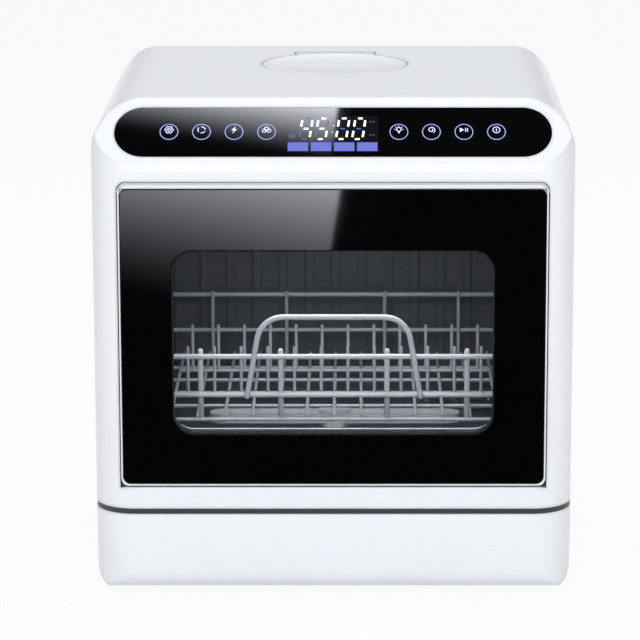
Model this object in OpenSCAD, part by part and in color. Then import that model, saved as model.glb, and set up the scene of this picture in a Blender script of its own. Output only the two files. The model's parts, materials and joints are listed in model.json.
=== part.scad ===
/* [Casing] */
// Overall width
body_w = 430; // [410:5:460]
// Overall depth, with the door shut
body_d = 400; // [390:5:430]
// Overall height, feet included
body_h = 445; // [435:5:470]
// Radius of the four upright edges
edge_r = 37; // [34:1:40]
// Radius of the two long top edges
top_r = 46; // [30:1:48]
// Radius of the rear top edge
rear_r = 25; // [15:1:30]
// Wall of the casing and the base
skin = 2.5; // [2:0.1:3]
// Height of the sloped control face
slope_rise = 53; // [51:1:56]
// How far the control face leans back over that height
slope_run = 48; // [44:1:52]
// Height from the bottom edge of the control face to the top of the door opening
brow_h = 14; // [12:1:20]

/* [Base] */
// Height of the base up to the dark band
base_top = 75; // [72:1:78]
// Height of the dark band
band_h = 5; // [4:0.5:6]
// How far the band lies back from the casing
band_inset = 0.8; // [0.5:0.1:1.5]
// Depth of the band's shelf under the walls
band_shelf = 8; // [6:1:10]
// Radius along the bottom edge
base_r = 18; // [12:1:20]
// How much each side of the base draws in towards the bottom
base_taper = 1.5; // [0:0.5:2]
// Height of the feet below the base
foot_h = 3; // [2:0.5:5]
// Radius of a foot
foot_r = 13; // [10:1:16]
// Distance of the feet from the sides, front and back
foot_inset = 42; // [40:1:60]

/* [Door] */
// How far the glass stands out from the casing
door_proud = 1.5; // [1:0.1:2]
// Width left of the casing on each side of the door opening
side_margin = 24; // [19:0.5:26]
// Height of the bottom edge of the door opening
opening_z = 100; // [99:0.5:101]
// Gap between the door and its opening
door_gap = 1.2; // [1:0.1:2]
// Thickness of the outer glass
glass_t = 4; // [3:0.5:5]
// Corner radius of the outer glass
glass_r = 7; // [5:1:10]
// Height of the white lip above the glass
lip_h = 4; // [3:0.5:6]
// Width of the silver trim round the glass
trim_w = 1.5; // [1:0.1:2]
// Width of the window
window_w = 286; // [270:1:300]
// Distance from the top of the door down to the window
window_drop = 59.5; // [54:0.5:66]
// Height of the window's bottom edge
window_z = 149.5; // [148:0.5:156]
// Corner radius of the window
window_r = 19; // [10:1:24]
// Depth of the door from the glass to the seal
door_t = 28; // [26:0.5:30]
// How far the inner door reaches into the tub
plug_t = 4; // [2:0.5:5]
// Radius of the hinge pins
hinge_pin_r = 3; // [2.5:0.1:3.5]
// Distance of the hinge axis behind the glass
hinge_back = 19; // [18:0.5:20]
// Radial play of turning shafts in their bores
run_gap = 0.05; // [0.02:0.01:0.1]

/* [Tub and rack] */
// Wall of the tub
tub_wall = 2; // [1.5:0.5:3]
// Height of the tub floor, inside
tub_floor = 104; // [103:1:106]
// Height of the bottom edge of the tub mouth
mouth_z = 128; // [127:1:130]
// Width of the seal
seal_w = 9; // [7:1:10]
// Diameter of the rim wires of the rack
rim_d = 4.5; // [3.5:0.1:5]
// Diameter of the cross and upright wires
wire_d = 3.5; // [2.5:0.1:4]
// Diameter of the handle wire
handle_d = 5.5; // [4:0.1:6]
// Height of the rack floor wires
rack_floor_z = 145; // [144:1:148]
// Height of the rack rim above its floor wires
rack_h = 59; // [50:1:70]
// Height of the second wire above the floor wires
rack_mid = 23; // [16:1:34]
// Height of the arched handle above the rim
handle_h = 38; // [30:1:45]
// Half width of the handle at its top
handle_half = 66; // [50:1:80]
// Distance between the upright wires beside the middle
post_pitch = 97; // [80:1:110]
// Distance between floor wires
floor_pitch = 25; // [20:1:35]
// Height of the plate prongs
tine_h = 48; // [30:1:52]
// Radius swept by the spray arm
arm_r = 118; // [90:1:120]

/* [Fill lid and controls] */
// Radius of the round fill lid
lid_r = 69; // [50:1:70]
// Distance of the lid's centre behind the middle of the casing
lid_y = 60; // [55:1:64]
// Width of the control glass
panel_w = 386; // [380:1:400]
// Height of the control glass along the slope
panel_h = 51; // [44:1:53]
// Thickness of the control glass
panel_t = 2.8; // [2.6:0.1:3]
// Width of the display
display_w = 82; // [60:1:90]
// Height of the display
display_h = 34; // [24:1:36]

/* [Connections at the back] */
// Radius of the water inlet thread, G3/4
inlet_r = 13.2; // [12:0.1:14]
// Length of the inlet thread
inlet_len = 16; // [12:1:20]
// Radius of the drain spigot
spigot_r = 9.5; // [8:0.5:10]
// Length of the drain spigot
spigot_len = 26; // [18:1:30]
// Radius of the bore of the cord gland
gland_r = 3.6; // [3:0.1:4]

/* [Hidden] */

white = "#f1f3f6";
grey = "#9aa0a8";
dark = "#3c4046";
steel = "#b9bec4";
copper = "#b87a4b";

// Clearance of pieces that sit in an opening or on a seat
fit = 0.3;
// Clearance of a face that slides or shuts against another
touch = 0.3;
soft_steps = 8;

// Planes of the casing
front_y = -body_d / 2 + door_proud;
rear_y = body_d / 2;
band_top = base_top + band_h;
slope_z = body_h - slope_rise;
slope_angle = atan2(slope_run, slope_rise);
casing_side = body_w / 2;

// Door opening, door and hinge axis
open_half = casing_side - side_margin;
open_top = slope_z - brow_h;
door_front = -body_d / 2;
door_half = open_half - door_gap;
door_top = open_top - door_gap - 0.8;
hinge_y = door_front + hinge_back;
hinge_z = opening_z + hinge_back + 1;
door_bottom = hinge_z - hinge_back;
glass_half = door_half - trim_w;
glass_z0 = door_bottom + 2.3;
glass_z1 = door_top - lip_h;
mask_t = 0.3;
frame_front = door_front + glass_t + mask_t;
frame_back = door_front + 12;
seal_face = door_front + door_t;
plug_face = seal_face + plug_t;
sill_r = norm([hinge_back, hinge_z - glass_z0]) + 0.6;
sill_wall = 1.4;
jamb_wall = 2;
window_z1 = door_top - window_drop;
window_half = window_w / 2;
sight_gap = 2.5;

// Tub and its mouth
seal_t = 12;
plate_front = seal_face + seal_t;
plate_half = open_half + 6;
tub_half = casing_side - 34;
tub_front = plate_front + tub_wall;
tank_depth = 40;
tub_back = rear_y - 54;
tub_top = open_top - 16;
mouth_half = tub_half - 2.5;
mouth_top = tub_top - 6;
mouth_r = 20;
rib_pitch = 26;
rib_t = 4;

// Rack
rail_w = 7;
rail_top = rack_floor_z + 5;
rack_half = tub_half - 9;
rack_front_y = door_front + 70;
rack_rear_y = tub_back - 16;
rack_rim_z = rack_floor_z + rack_h;
rack_mid_z = rack_floor_z + rack_mid;
toe = 10;
weld = 0.4;
tine_rows = [-45, 45];
tine_half = rack_half - 22;

// Wash system
arm_y = -30;
arm_z = tub_floor + 14;
arm_t = 8;
arm_w = 26;
post_r = 8;
sump_x = tub_half - 61;
sump_y = tub_back - 51;
sump_r = 40;
sump_z = 58;
pump_y = sump_y - 23;
pump_z = 62;
pump_in_z = pump_z + 9;
pump_r = 30;
pump_x = sump_x - 82;
volute_w = 26;
pipe_r = 9;
shaft_r = 3;

// Top of the machine
lid_t = 2.3;
lid_gap = 1;
lid_pivot_y = lid_y + lid_r - 2.5;
lid_pivot_z = body_h - 7;
tab_half = 38;
basin_floor = body_h - 33;
basin_r = lid_r - 3;
pin_r = 2;
fan_x = tub_half - 56;
fan_y = 40;
fan_r = 42;
fan_h = 30;

// Connector recess in the base
tray_x1 = casing_side - 47;
tray_x0 = tray_x1 - 136;
tray_z0 = 26;
tray_z1 = 70;
tray_depth = 35;
tray_y = rear_y - tray_depth;
inlet_x = tray_x0 + 73;
gland_x = tray_x0 + 28;
port_z = 46;
drain_x = tray_x0 + 115;
drain_y = sump_y - 85;
drain_rise = 12;
drain_z = port_z - drain_rise;
drain_r = 20;

screw_head_r = 4;
screw_r = 1.8;

function unit(v) = v / norm(v);
function at(p, i) = p[(i + len(p)) % len(p)];
function half_angle(p, i) =
    let (u = unit(at(p, i - 1) - p[i]), v = unit(at(p, i + 1) - p[i])) acos(u * v) / 2;
// The centre of a circle of radius r that touches both edges at corner i
function nook(p, i, r) =
    let (u = unit(at(p, i - 1) - p[i]), v = unit(at(p, i + 1) - p[i]))
    p[i] + unit(u + v) * r / sin(half_angle(p, i));
function fillet(p, i, r, n) =
    r <= 0 ? [p[i]] :
    let (c = nook(p, i, r), h = half_angle(p, i), turn = 180 - 2 * h,
        a = unit(at(p, i - 1) - p[i]) * r / tan(h) + p[i] - c,
        b = unit(at(p, i + 1) - p[i]) * r / tan(h) + p[i] - c)
    [for (k = [0:n]) c + (sin(turn * (1 - k / n)) * a + sin(turn * k / n) * b) / sin(turn)];
function soft(p, r, n = soft_steps) = [for (i = [0:len(p) - 1]) each fillet(p, i, r[i], n)];
function inset(p, w) = w <= 0 ? p : [for (i = [0:len(p) - 1]) nook(p, i, w)];
function corners(x0, x1, y0, y1) = [[x0, y0], [x1, y0], [x1, y1], [x0, y1]];
function rounded(x0, x1, y0, y1, r, n = soft_steps) = soft(corners(x0, x1, y0, y1), [r, r, r, r], n);

module x_extrude(x0, x1) {
    translate([x0, 0, 0]) rotate([90, 0, 90]) linear_extrude(x1 - x0) children();
}
module y_extrude(y0, y1) {
    translate([0, y1, 0]) rotate([90, 0, 0]) linear_extrude(y1 - y0) children();
}
module z_extrude(z0, z1) {
    translate([0, 0, z0]) linear_extrude(z1 - z0) children();
}
module block(x0, x1, y0, y1, z0, z1) {
    translate([x0, y0, z0]) cube([x1 - x0, y1 - y0, z1 - z0]);
}
module both_sides() {
    children();
    mirror([1, 0, 0]) children();
}
module x_rod(x0, x1, y, z, r) {
    translate([x0, y, z]) rotate([0, 90, 0]) cylinder(h = x1 - x0, r = r, $fn = 48);
}
module y_rod(y0, y1, x, z, r) {
    translate([x, y0, z]) rotate([-90, 0, 0]) cylinder(h = y1 - y0, r = r, $fn = 48);
}
module z_rod(z0, z1, x, y, r) {
    translate([x, y, z0]) cylinder(h = z1 - z0, r = r, $fn = 64);
}
// The control face: x across, y up the slope from its middle, z straight out of it
module on_slope() {
    translate([0, front_y + slope_run / 2, slope_z + slope_rise / 2])
        rotate([90 - slope_angle, 0, 0]) children();
}
module pill(w, h) {
    polygon(rounded(-w / 2, w / 2, -h / 2, h / 2, h / 2 - 0.01, 16));
}

// ---- Casing, band and base ----

function plan(i) =
    rounded(-casing_side + i, casing_side - i, front_y + i, rear_y - i, max(edge_r - i, 1), 12);
// The outline seen from the front, inset by i, from height z0 up
function front_outline(i, z0) =
    let (s = casing_side - i, t = body_h - i)
    soft([[-s, z0], [-s, t], [s, t], [s, z0]], [0, top_r - i, top_r - i, 0], 12);
function side_outline(i, z0) =
    let (low = z0 - i,
        p = inset([[front_y, low], [front_y, slope_z], [front_y + slope_run, body_h],
            [rear_y, body_h], [rear_y, low]], i))
    soft(p, [0, 14 - i, 14 - i, rear_r - i, 0]);

module casing_block(i, z0) {
    intersection() {
        z_extrude(z0 - 1, body_h + 1) polygon(plan(i));
        y_extrude(front_y - 1, rear_y + 1) polygon(front_outline(i, z0));
        x_extrude(-casing_side - 1, casing_side + 1) polygon(side_outline(i, z0));
    }
}
rear_open_half = casing_side - 50;
rear_open_z0 = band_top + 14;
rear_open_z1 = body_h - 42;
rear_lap = 10;
rear_screw_spots = [for (x = [-1, 0, 1], z = [0, 1])
    [x * (rear_open_half - 20), z == 0 ? rear_open_z0 - rear_lap / 2 : rear_open_z1 + rear_lap / 2]];

module lid_hole(grow) {
    z_extrude(body_h - skin - 20, body_h + 1) {
        translate([0, lid_y]) circle(r = lid_r + grow, $fn = 96);
        translate([-tab_half - grow, lid_y + lid_r - 11])
            square([2 * (tab_half + grow), 15 + 4 * grow]);
    }
}

module outer_casing() {
    color(white) difference() {
        casing_block(0, band_top);
        casing_block(skin, band_top - skin - 2);
        // Door opening
        y_extrude(front_y - 1, front_y + 12)
            polygon(rounded(-open_half, open_half, opening_z, open_top, glass_r + 2));
        x_rod(-open_half, open_half, hinge_y, hinge_z, sill_r);
        on_slope() z_extrude(-8, 3) pill(panel_w + 2 * fit, panel_h + 2 * fit);
        lid_hole(lid_gap);
        y_extrude(rear_y - skin - 2, rear_y + 1)
            polygon(rounded(-rear_open_half, rear_open_half, rear_open_z0, rear_open_z1, 12));
        for (s = rear_screw_spots) {
            y_rod(rear_y - skin - 2, rear_y + 1, s[0], s[1], screw_r + fit);
            y_rod(rear_y - skin / 2 - 0.5, rear_y + 1, s[0], s[1], screw_head_r + fit);
        }
    }
}

module trim_band() {
    color(dark) z_extrude(base_top, band_top) difference() {
        polygon(plan(band_inset));
        polygon(plan(band_shelf));
    }
}

// The base seen from the front, inset by i
function base_front(i) =
    let (s = casing_side - i, t = casing_side - base_taper - i, z = foot_h + i)
    soft([[-s, base_top + i], [-t, z], [t, z], [s, base_top + i]], [0, base_r - i, base_r - i, 0]);
function base_side(i) =
    let (z = foot_h + i)
    soft([[front_y + i, base_top + i], [front_y + base_taper + i, z], [rear_y - i, z],
        [rear_y - i, base_top + i]], [0, base_r - i, base_r - i, 0]);
module base_block(i) {
    intersection() {
        z_extrude(0, base_top + i) polygon(plan(i));
        y_extrude(front_y - 1, rear_y + 1) polygon(base_front(i));
        x_extrude(-casing_side - 1, casing_side + 1) polygon(base_side(i));
    }
}
foot_x = casing_side - foot_inset;
foot_y = body_d / 2 - foot_inset;
stem_r = 4;
foot_spots = [for (x = [-1, 1], y = [-1, 1]) [x * foot_x, y * foot_y]];

module base_housing() {
    color(white) difference() {
        base_block(0);
        base_block(skin);
        block(tray_x0, tray_x1, rear_y - 10, rear_y + 1, tray_z0, tray_z1);
        for (s = foot_spots) z_rod(0, foot_h + skin + 1, s[0], s[1], stem_r);
    }
}

module feet() {
    color("#2b2d30") for (s = foot_spots) {
        z_rod(0, foot_h, s[0], s[1], foot_r);
        z_rod(foot_h - 1, foot_h + skin + 4, s[0], s[1], stem_r);
    }
}

cradle_t = 3;
cradle_post_x = tub_half - 9;
tank_feet_x = [tub_half - 125, tub_half - 66];
module tub_cradle() {
    color(grey) {
        z_extrude(band_top, band_top + cradle_t) difference() {
            polygon(plan(skin + fit));
            polygon(rounded(-tub_half + 14, tub_half - 14, tub_front + 14, tub_back - 4, 10));
            translate([tank_port_x, tank_port_y]) circle(r = tank_port_r + 1, $fn = 48);
        }
        for (x = [-1, 1], y = [tub_front + 20, tub_back - 22])
            z_rod(band_top + cradle_t - 1, tub_floor - tub_wall, x * cradle_post_x, y, 8);
        both_sides() for (x = tank_feet_x)
            block(x, x + 14, tank_y0, tank_y1, band_top + cradle_t - 1, tank_z0);
    }
}

module rear_panel() {
    lap = rear_lap;
    color(grey) difference() {
        y_extrude(rear_y - skin - 2, rear_y - skin) polygon(rounded(-rear_open_half - lap,
            rear_open_half + lap, rear_open_z0 - lap, rear_open_z1 + lap, 14));
        for (x = [46:12:154])
            y_extrude(rear_y - skin - 3, rear_y)
                polygon(rounded(x, x + 5, rear_open_z1 - 55, rear_open_z1 - 12, 2.4, 4));
        for (s = rear_screw_spots)
            y_rod(rear_y - skin - 3, rear_y, s[0], s[1], screw_r);
    }
}

module rear_screws() {
    color(steel) for (s = rear_screw_spots) difference() {
        union() {
            y_rod(rear_y - skin - 8, rear_y - skin / 2, s[0], s[1], screw_r);
            y_rod(rear_y - skin / 2 - 0.5, rear_y - 0.1, s[0], s[1], screw_head_r);
        }
        block(s[0] - 3, s[0] + 3, rear_y - 0.8, rear_y + 1, s[1] - 0.5, s[1] + 0.5);
        block(s[0] - 0.5, s[0] + 0.5, rear_y - 0.8, rear_y + 1, s[1] - 3, s[1] + 3);
    }
}

// ---- Connections at the back ----

tray_wall = 2;
module connector_sleeve() {
    color(grey) difference() {
        union() {
            block(tray_x0 + fit, tray_x1 - fit, tray_y, rear_y - 0.5, tray_z0 + fit, tray_z1 - fit);
            block(tray_x0 - 4, tray_x1 + 4, rear_y - skin - tray_wall, rear_y - skin,
                tray_z0 - 4, tray_z1 + 4);
        }
        block(tray_x0 + tray_wall, tray_x1 - tray_wall, tray_y - 1, rear_y + 1,
            tray_z0 + tray_wall, tray_z1 - tray_wall);
    }
}
module connector_plate() {
    color(grey) difference() {
        block(tray_x0 + fit, tray_x1 - fit, tray_y - tray_wall, tray_y, tray_z0 + fit, tray_z1 - fit);
        y_rod(tray_y - tray_wall - 1, tray_y + 1, inlet_x, port_z, inlet_r - 3);
        y_rod(tray_y - tray_wall - 1, tray_y + 1, drain_x, port_z, spigot_r - 1.5);
        y_rod(tray_y - tray_wall - 1, tray_y + 1, gland_x, port_z, gland_r + 2.5);
    }
}
module inlet_valve() {
    color("#dfe3e8") difference() {
        union() {
            y_rod(tray_y, tray_y + inlet_len, inlet_x, port_z, inlet_r);
            block(inlet_x - inlet_r - 5, inlet_x + inlet_r + 5, tray_y, tray_y + 3,
                port_z - inlet_r - 1.5, port_z + inlet_r + 1.5);
            y_rod(tray_y - 12, tray_y + 1, inlet_x, port_z, inlet_r - 3);
            block(inlet_x - 15, inlet_x + 15, tray_y - 26, tray_y - 8, port_z - 15, port_z + 13);
            z_rod(port_z + 12, port_z + 26, inlet_x, tray_y - 17, 8);
        }
        y_rod(tray_y - 20, tray_y + inlet_len + 1, inlet_x, port_z, inlet_r - 5);
    }
}
module drain_spigot() {
    color(dark) difference() {
        union() {
            y_rod(tray_y, tray_y + spigot_len, drain_x, port_z, spigot_r);
            y_rod(tray_y, tray_y + 3, drain_x, port_z, spigot_r + 4);
            y_rod(tray_y - 2, tray_y + 1, drain_x, port_z, spigot_r - 1.5);
        }
        y_rod(tray_y - 3, tray_y + spigot_len + 1, drain_x, port_z, spigot_r - 2.5);
    }
}
module cord_gland() {
    color("#202225") difference() {
        union() {
            y_rod(tray_y, tray_y + 12, gland_x, port_z, gland_r + 4);
            y_rod(tray_y, tray_y + 3, gland_x, port_z, gland_r + 7);
            y_rod(tray_y - 6, tray_y + 1, gland_x, port_z, gland_r + 2.5);
        }
        y_rod(tray_y - 7, tray_y + 13, gland_x, port_z, gland_r);
    }
}

// ---- Door opening, hinges and latch ----

jamb_front = front_y + skin;
module sill_clear(grow) {
    translate([hinge_y, hinge_z]) circle(r = sill_r + grow, $fn = 96);
    translate([hinge_y, hinge_z - hinge_back - 0.9 - grow])
        square([hinge_back + 0.6 + grow, hinge_back]);
}
module door_jamb() {
    color(white) intersection() {
        z_extrude(band_top, body_h) polygon(plan(skin + 0.1));
        union() {
            both_sides() difference() {
                block(open_half, open_half + jamb_wall, jamb_front, plate_front,
                    hinge_z - sill_r - sill_wall, open_top + jamb_wall);
                x_rod(open_half - 1, open_half + jamb_wall + 1, hinge_y, hinge_z, hinge_pin_r + 1.5);
            }
            block(-open_half - 1, open_half + 1, jamb_front, plate_front, open_top, open_top + jamb_wall);
            x_extrude(-open_half - jamb_wall, open_half + jamb_wall) intersection() {
                difference() {
                    sill_clear(sill_wall);
                    sill_clear(0);
                }
                translate([jamb_front, hinge_z - 2 * sill_r])
                    square([plate_front - jamb_front, 2 * sill_r - 6]);
            }
        }
    }
}

bush_r = hinge_pin_r + 1.6;
bracket_x = open_half + jamb_wall + 0.4;
bracket_t = 3;
module hinge_brackets() {
    color(steel) both_sides() difference() {
        union() {
            block(bracket_x, bracket_x + bracket_t, hinge_y, plate_front, hinge_z - 12, hinge_z + 12);
            x_rod(bracket_x, bracket_x + bracket_t, hinge_y, hinge_z, bush_r + 0.9);
        }
        x_rod(bracket_x - 1, bracket_x + bracket_t + 1, hinge_y, hinge_z, bush_r);
    }
}
module hinge_bushes() {
    color("#e8e6dd") both_sides() difference() {
        x_rod(bracket_x, bracket_x + bracket_t, hinge_y, hinge_z, bush_r);
        x_rod(bracket_x - 1, bracket_x + bracket_t + 1, hinge_y, hinge_z, hinge_pin_r + run_gap);
    }
}

tongue_z = tub_top + 5;
tongue_t = 3;
tongue_y = plate_front + 20;
pawl_y = plate_front + 38;
pawl_z = tongue_z + 17;
cheek_x = 11;
cheek_t = 3;
module latch_body() {
    color(dark) {
        both_sides() difference() {
            block(cheek_x, cheek_x + cheek_t, tub_front + 0.5, pawl_y + 10, tub_top, pawl_z + 12);
            x_rod(cheek_x - 1, cheek_x + cheek_t + 1, pawl_y, pawl_z, pin_r + run_gap);
        }
        block(-cheek_x - 1, cheek_x + 1, tub_front + 0.5, pawl_y + 10, pawl_z + 10, pawl_z + 12);
    }
}
module latch_pawl() {
    nose_z = tongue_z + tongue_t + 1.4;
    color(steel) {
        x_rod(-cheek_x - cheek_t, cheek_x + cheek_t, pawl_y, pawl_z, pin_r);
        x_rod(-6, 6, pawl_y, pawl_z, 4.5);
        block(-5, 5, tongue_y - 7, pawl_y, pawl_z - 3.5, pawl_z + 1);
        block(-5, 5, tongue_y - 7, tongue_y - 2, nose_z, pawl_z - 3);
    }
}

// ---- Tub, seal and rails ----

module tub() {
    color("#77808c") difference() {
        union() {
            difference() {
                z_extrude(tub_floor - tub_wall, tub_top) polygon(soft(corners(-tub_half - tub_wall,
                    tub_half + tub_wall, tub_front, tub_back + tub_wall), [3, 3, 20, 20]));
                z_extrude(tub_floor, tub_top - tub_wall) polygon(soft(corners(-tub_half, tub_half,
                    tub_front + tub_wall, tub_back), [1, 1, 18, 18]));
            }
            block(-plate_half, plate_half, plate_front, tub_front + 0.5,
                hinge_z - 23, open_top + jamb_wall);
            for (x = [-6:6])
                block(x * rib_pitch - 4, x * rib_pitch + 4, tub_back - rib_t, tub_back + 1,
                    mouth_z, mouth_top);
            both_sides() for (y = [tub_front + 36:rib_pitch:tub_back - 38])
                block(tub_half - rib_t + 1, tub_half + 1, y, y + 8, rack_rim_z + 12, mouth_top);
        }
        y_extrude(plate_front - 1, tub_front + 8)
            polygon(rounded(-mouth_half, mouth_half, mouth_z, mouth_top, mouth_r));
        block(-cheek_x - 1, cheek_x + 1, plate_front - 1, tub_front + 1, tongue_z - 2, tongue_z + 8);
        z_rod(tub_floor - 4, tub_floor + 1, sump_x, sump_y, sump_r - 3);
        z_rod(tub_floor - 4, tub_floor + 1, 0, arm_y, post_r);
        z_rod(tub_top - 4, tub_top + 1, fan_x, fan_y, 18);
    }
}

module tub_seal() {
    lap = 1;
    color("#55595f") y_extrude(seal_face + touch, plate_front) difference() {
        polygon(rounded(-mouth_half - lap - seal_w, mouth_half + lap + seal_w, mouth_z - lap - seal_w,
            mouth_top + lap + seal_w, mouth_r + seal_w));
        polygon(rounded(-mouth_half - lap, mouth_half + lap, mouth_z - lap, mouth_top + lap, mouth_r));
    }
}

module rack_rails() {
    color(grey) both_sides()
        block(tub_half - rail_w, tub_half, tub_front + tub_wall + 2, tub_back - 22, rail_top - 5, rail_top);
}

// ---- Wash system ----

module sump() {
    color(dark) difference() {
        union() {
            z_rod(sump_z, tub_floor - tub_wall, sump_x, sump_y, sump_r);
            z_rod(tub_floor - tub_wall - 4, tub_floor - tub_wall, sump_x, sump_y, sump_r + 6);
        }
        z_rod(sump_z + 3, tub_floor, sump_x, sump_y, sump_r - 3);
        x_rod(pump_x, sump_x, pump_y, pump_in_z, pipe_r);
        y_rod(sump_y, sump_y + sump_r, sump_entry_x, sump_entry_z, tank_port_r);
    }
}
filter_r = sump_r - 8;
module filter_cup() {
    color("#c9ccd0") {
        difference() {
            z_rod(sump_z + 16, tub_floor + 1, sump_x, sump_y, filter_r);
            z_rod(sump_z + 18, tub_floor + 2, sump_x, sump_y, filter_r - 2);
        }
        difference() {
            z_rod(tub_floor + touch, tub_floor + 2.5, sump_x, sump_y, sump_r + 3);
            z_rod(tub_floor, tub_floor + 3, sump_x, sump_y, filter_r - 2);
        }
        block(sump_x - filter_r + 1, sump_x + filter_r - 1, sump_y - 3, sump_y + 3,
            tub_floor - 2, tub_floor + 3.5);
    }
}

post_top = arm_z + arm_t + 1;
module arm_post() {
    color(dark) difference() {
        union() {
            z_rod(tub_floor - 12, arm_z - 4, 0, arm_y, post_r);
            z_rod(arm_z - 5, post_top, 0, arm_y, post_r - 1.5);
            z_rod(tub_floor, tub_floor + 2, 0, arm_y, post_r + 6);
        }
        z_rod(tub_floor - 13, post_top - 2, 0, arm_y, post_r - 4);
    }
}
module spray_arm() {
    bore = post_r - 1.5 + run_gap;
    color("#d5d8dc") difference() {
        union() {
            z_rod(arm_z - 4 + touch, post_top + 3, 0, arm_y, 15);
            block(-arm_r + arm_w / 2, arm_r - arm_w / 2, arm_y - arm_w / 2, arm_y + arm_w / 2,
                arm_z, arm_z + arm_t);
            for (s = [-1, 1])
                z_rod(arm_z, arm_z + arm_t, s * (arm_r - arm_w / 2), arm_y, arm_w / 2 - 0.05);
        }
        z_rod(arm_z - 5, post_top + touch, 0, arm_y, bore);
        for (s = [-1, 1], k = [0:3])
            z_rod(arm_z + arm_t - 3, arm_z + arm_t + 1, s * (34 + 22 * k), arm_y + s * 5, 1.5);
    }
}

module wash_pump_volute() {
    color(dark) difference() {
        union() {
            x_rod(pump_x, pump_x + volute_w, pump_y, pump_z, pump_r);
            x_rod(pump_x + volute_w - 1, sump_x - sump_r + 8.5, pump_y, pump_in_z, pipe_r);
            y_rod(pump_y - pump_r - 14, pump_y - 20, pump_x + volute_w / 2, pump_z, pipe_r);
            block(pump_x + 2, pump_x + volute_w - 2, pump_y - 16, pump_y + 16,
                foot_h + skin, pump_z - pump_r + 8);
        }
        x_rod(pump_x + 3, pump_x + volute_w - 3, pump_y, pump_z, pump_r - 4);
        x_rod(pump_x - 1, pump_x + 4, pump_y, pump_z, shaft_r + 1);
        x_rod(pump_x + volute_w - 4, sump_x, pump_y, pump_in_z, pipe_r - 2);
        y_rod(pump_y - pump_r - 15, pump_y - 10, pump_x + volute_w / 2, pump_z, pipe_r - 2);
    }
}
module wash_pump_motor() {
    color(steel) difference() {
        union() {
            x_rod(pump_x - 86, pump_x, pump_y, pump_z, pump_r - 3);
            block(pump_x - 76, pump_x - 16, pump_y - 16, pump_y + 16, foot_h + skin, pump_z - pump_r + 8);
        }
        x_rod(pump_x - 40, pump_x + 1, pump_y, pump_z, shaft_r + run_gap);
    }
}
module wash_impeller() {
    color("#d5d8dc") {
        x_rod(pump_x - 36, pump_x + 10, pump_y, pump_z, shaft_r);
        x_rod(pump_x + 8, pump_x + 11, pump_y, pump_z, pump_r - 7);
        for (a = [0:60:300])
            translate([pump_x + 10, pump_y, pump_z]) rotate([a, 0, 0])
                translate([0, 5, -1]) cube([9, pump_r - 13, 2]);
    }
}
elbow_r = pipe_r + 0.6;
module delivery_pipe() {
    x = pump_x + volute_w / 2;
    color(dark) {
        y_rod(arm_y, pump_y - pump_r - 14, x, pump_z, pipe_r);
        translate([x, arm_y, pump_z]) sphere(r = elbow_r, $fn = 48);
        x_rod(0, x, arm_y, pump_z, pipe_r);
        translate([0, arm_y, pump_z]) sphere(r = elbow_r, $fn = 48);
        z_rod(pump_z, tub_floor - 12, 0, arm_y, pipe_r);
    }
}
module heater() {
    color(copper) difference() {
        y_rod(arm_y + 14, pump_y - pump_r - 20, pump_x + volute_w / 2, pump_z, 16);
        y_rod(arm_y, pump_y - pump_r, pump_x + volute_w / 2, pump_z, pipe_r);
    }
}

module drain_pump() {
    color(dark) difference() {
        union() {
            x_rod(drain_x - 10, drain_x + 10, drain_y, drain_z, drain_r);
            x_rod(drain_x - 55, drain_x - 9, drain_y, drain_z, drain_r - 4);
            y_rod(drain_y + 6, drain_y + drain_r + 12, drain_x, port_z, 7);
            block(drain_x - 50, drain_x - 20, drain_y - 12, drain_y + 12, foot_h + skin, drain_z - 8);
        }
        x_rod(drain_x - 7, drain_x + 7, drain_y, drain_z, drain_r - 3);
        x_rod(drain_x - 30, drain_x - 6, drain_y, drain_z, shaft_r - 1 + run_gap);
        y_rod(drain_y + 6, drain_y + drain_r + 13, drain_x, port_z, 5);
    }
}
module drain_impeller() {
    color("#d5d8dc") {
        x_rod(drain_x - 28, drain_x + 2, drain_y, drain_z, shaft_r - 1);
        for (a = [0:45:135])
            translate([drain_x - 4, drain_y, drain_z]) rotate([a, 0, 0])
                translate([0, -drain_r + 5, -0.75]) cube([8, 2 * (drain_r - 5), 1.5]);
    }
}
module drain_pipe() {
    color(dark) difference() {
        y_rod(drain_y + drain_r + 12, tray_y - 2, drain_x, port_z, 8.5);
        y_rod(drain_y + drain_r, tray_y, drain_x, port_z, 6);
    }
}

tank_half = tub_half - 21;
tank_y0 = tub_back + tub_wall + 3;
tank_y1 = tank_y0 + tank_depth;
tank_z0 = tub_floor + 8;
tank_z1 = tub_top + 20;
module water_tank() {
    color("#cfd8e0") difference() {
        block(-tank_half, tank_half, tank_y0, tank_y1, tank_z0, tank_z1);
        block(-tank_half + 2, tank_half - 2, tank_y0 + 2, tank_y1 - 2, tank_z0 + 2, tank_z1 - 2);
        z_rod(tank_z1 - 3, tank_z1 + 1, 0, tank_y0 + tank_depth / 2, 9);
        z_rod(tank_z0 - 1, tank_z0 + 3, tank_port_x, tank_port_y, tank_port_r - 1);
    }
}
tank_port_x = 16;
tank_port_y = tank_y0 + 6;
tank_port_r = 5;
sump_entry_x = sump_x - 30;
sump_entry_z = sump_z + 9.5;
module emptying_pipe() {
    y0 = sump_y + sqrt(pow(sump_r, 2) - pow(sump_x - sump_entry_x, 2)) - 1.5;
    z = sump_entry_z;
    z_rod(z, tank_z0, tank_port_x, tank_port_y, tank_port_r);
    translate([tank_port_x, tank_port_y, z]) sphere(r = tank_port_r + 0.5, $fn = 48);
    x_rod(tank_port_x, sump_entry_x, tank_port_y, z, tank_port_r);
    translate([sump_entry_x, tank_port_y, z]) sphere(r = tank_port_r + 0.5, $fn = 48);
    y_rod(y0, tank_port_y, sump_entry_x, z, tank_port_r);
}
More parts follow.
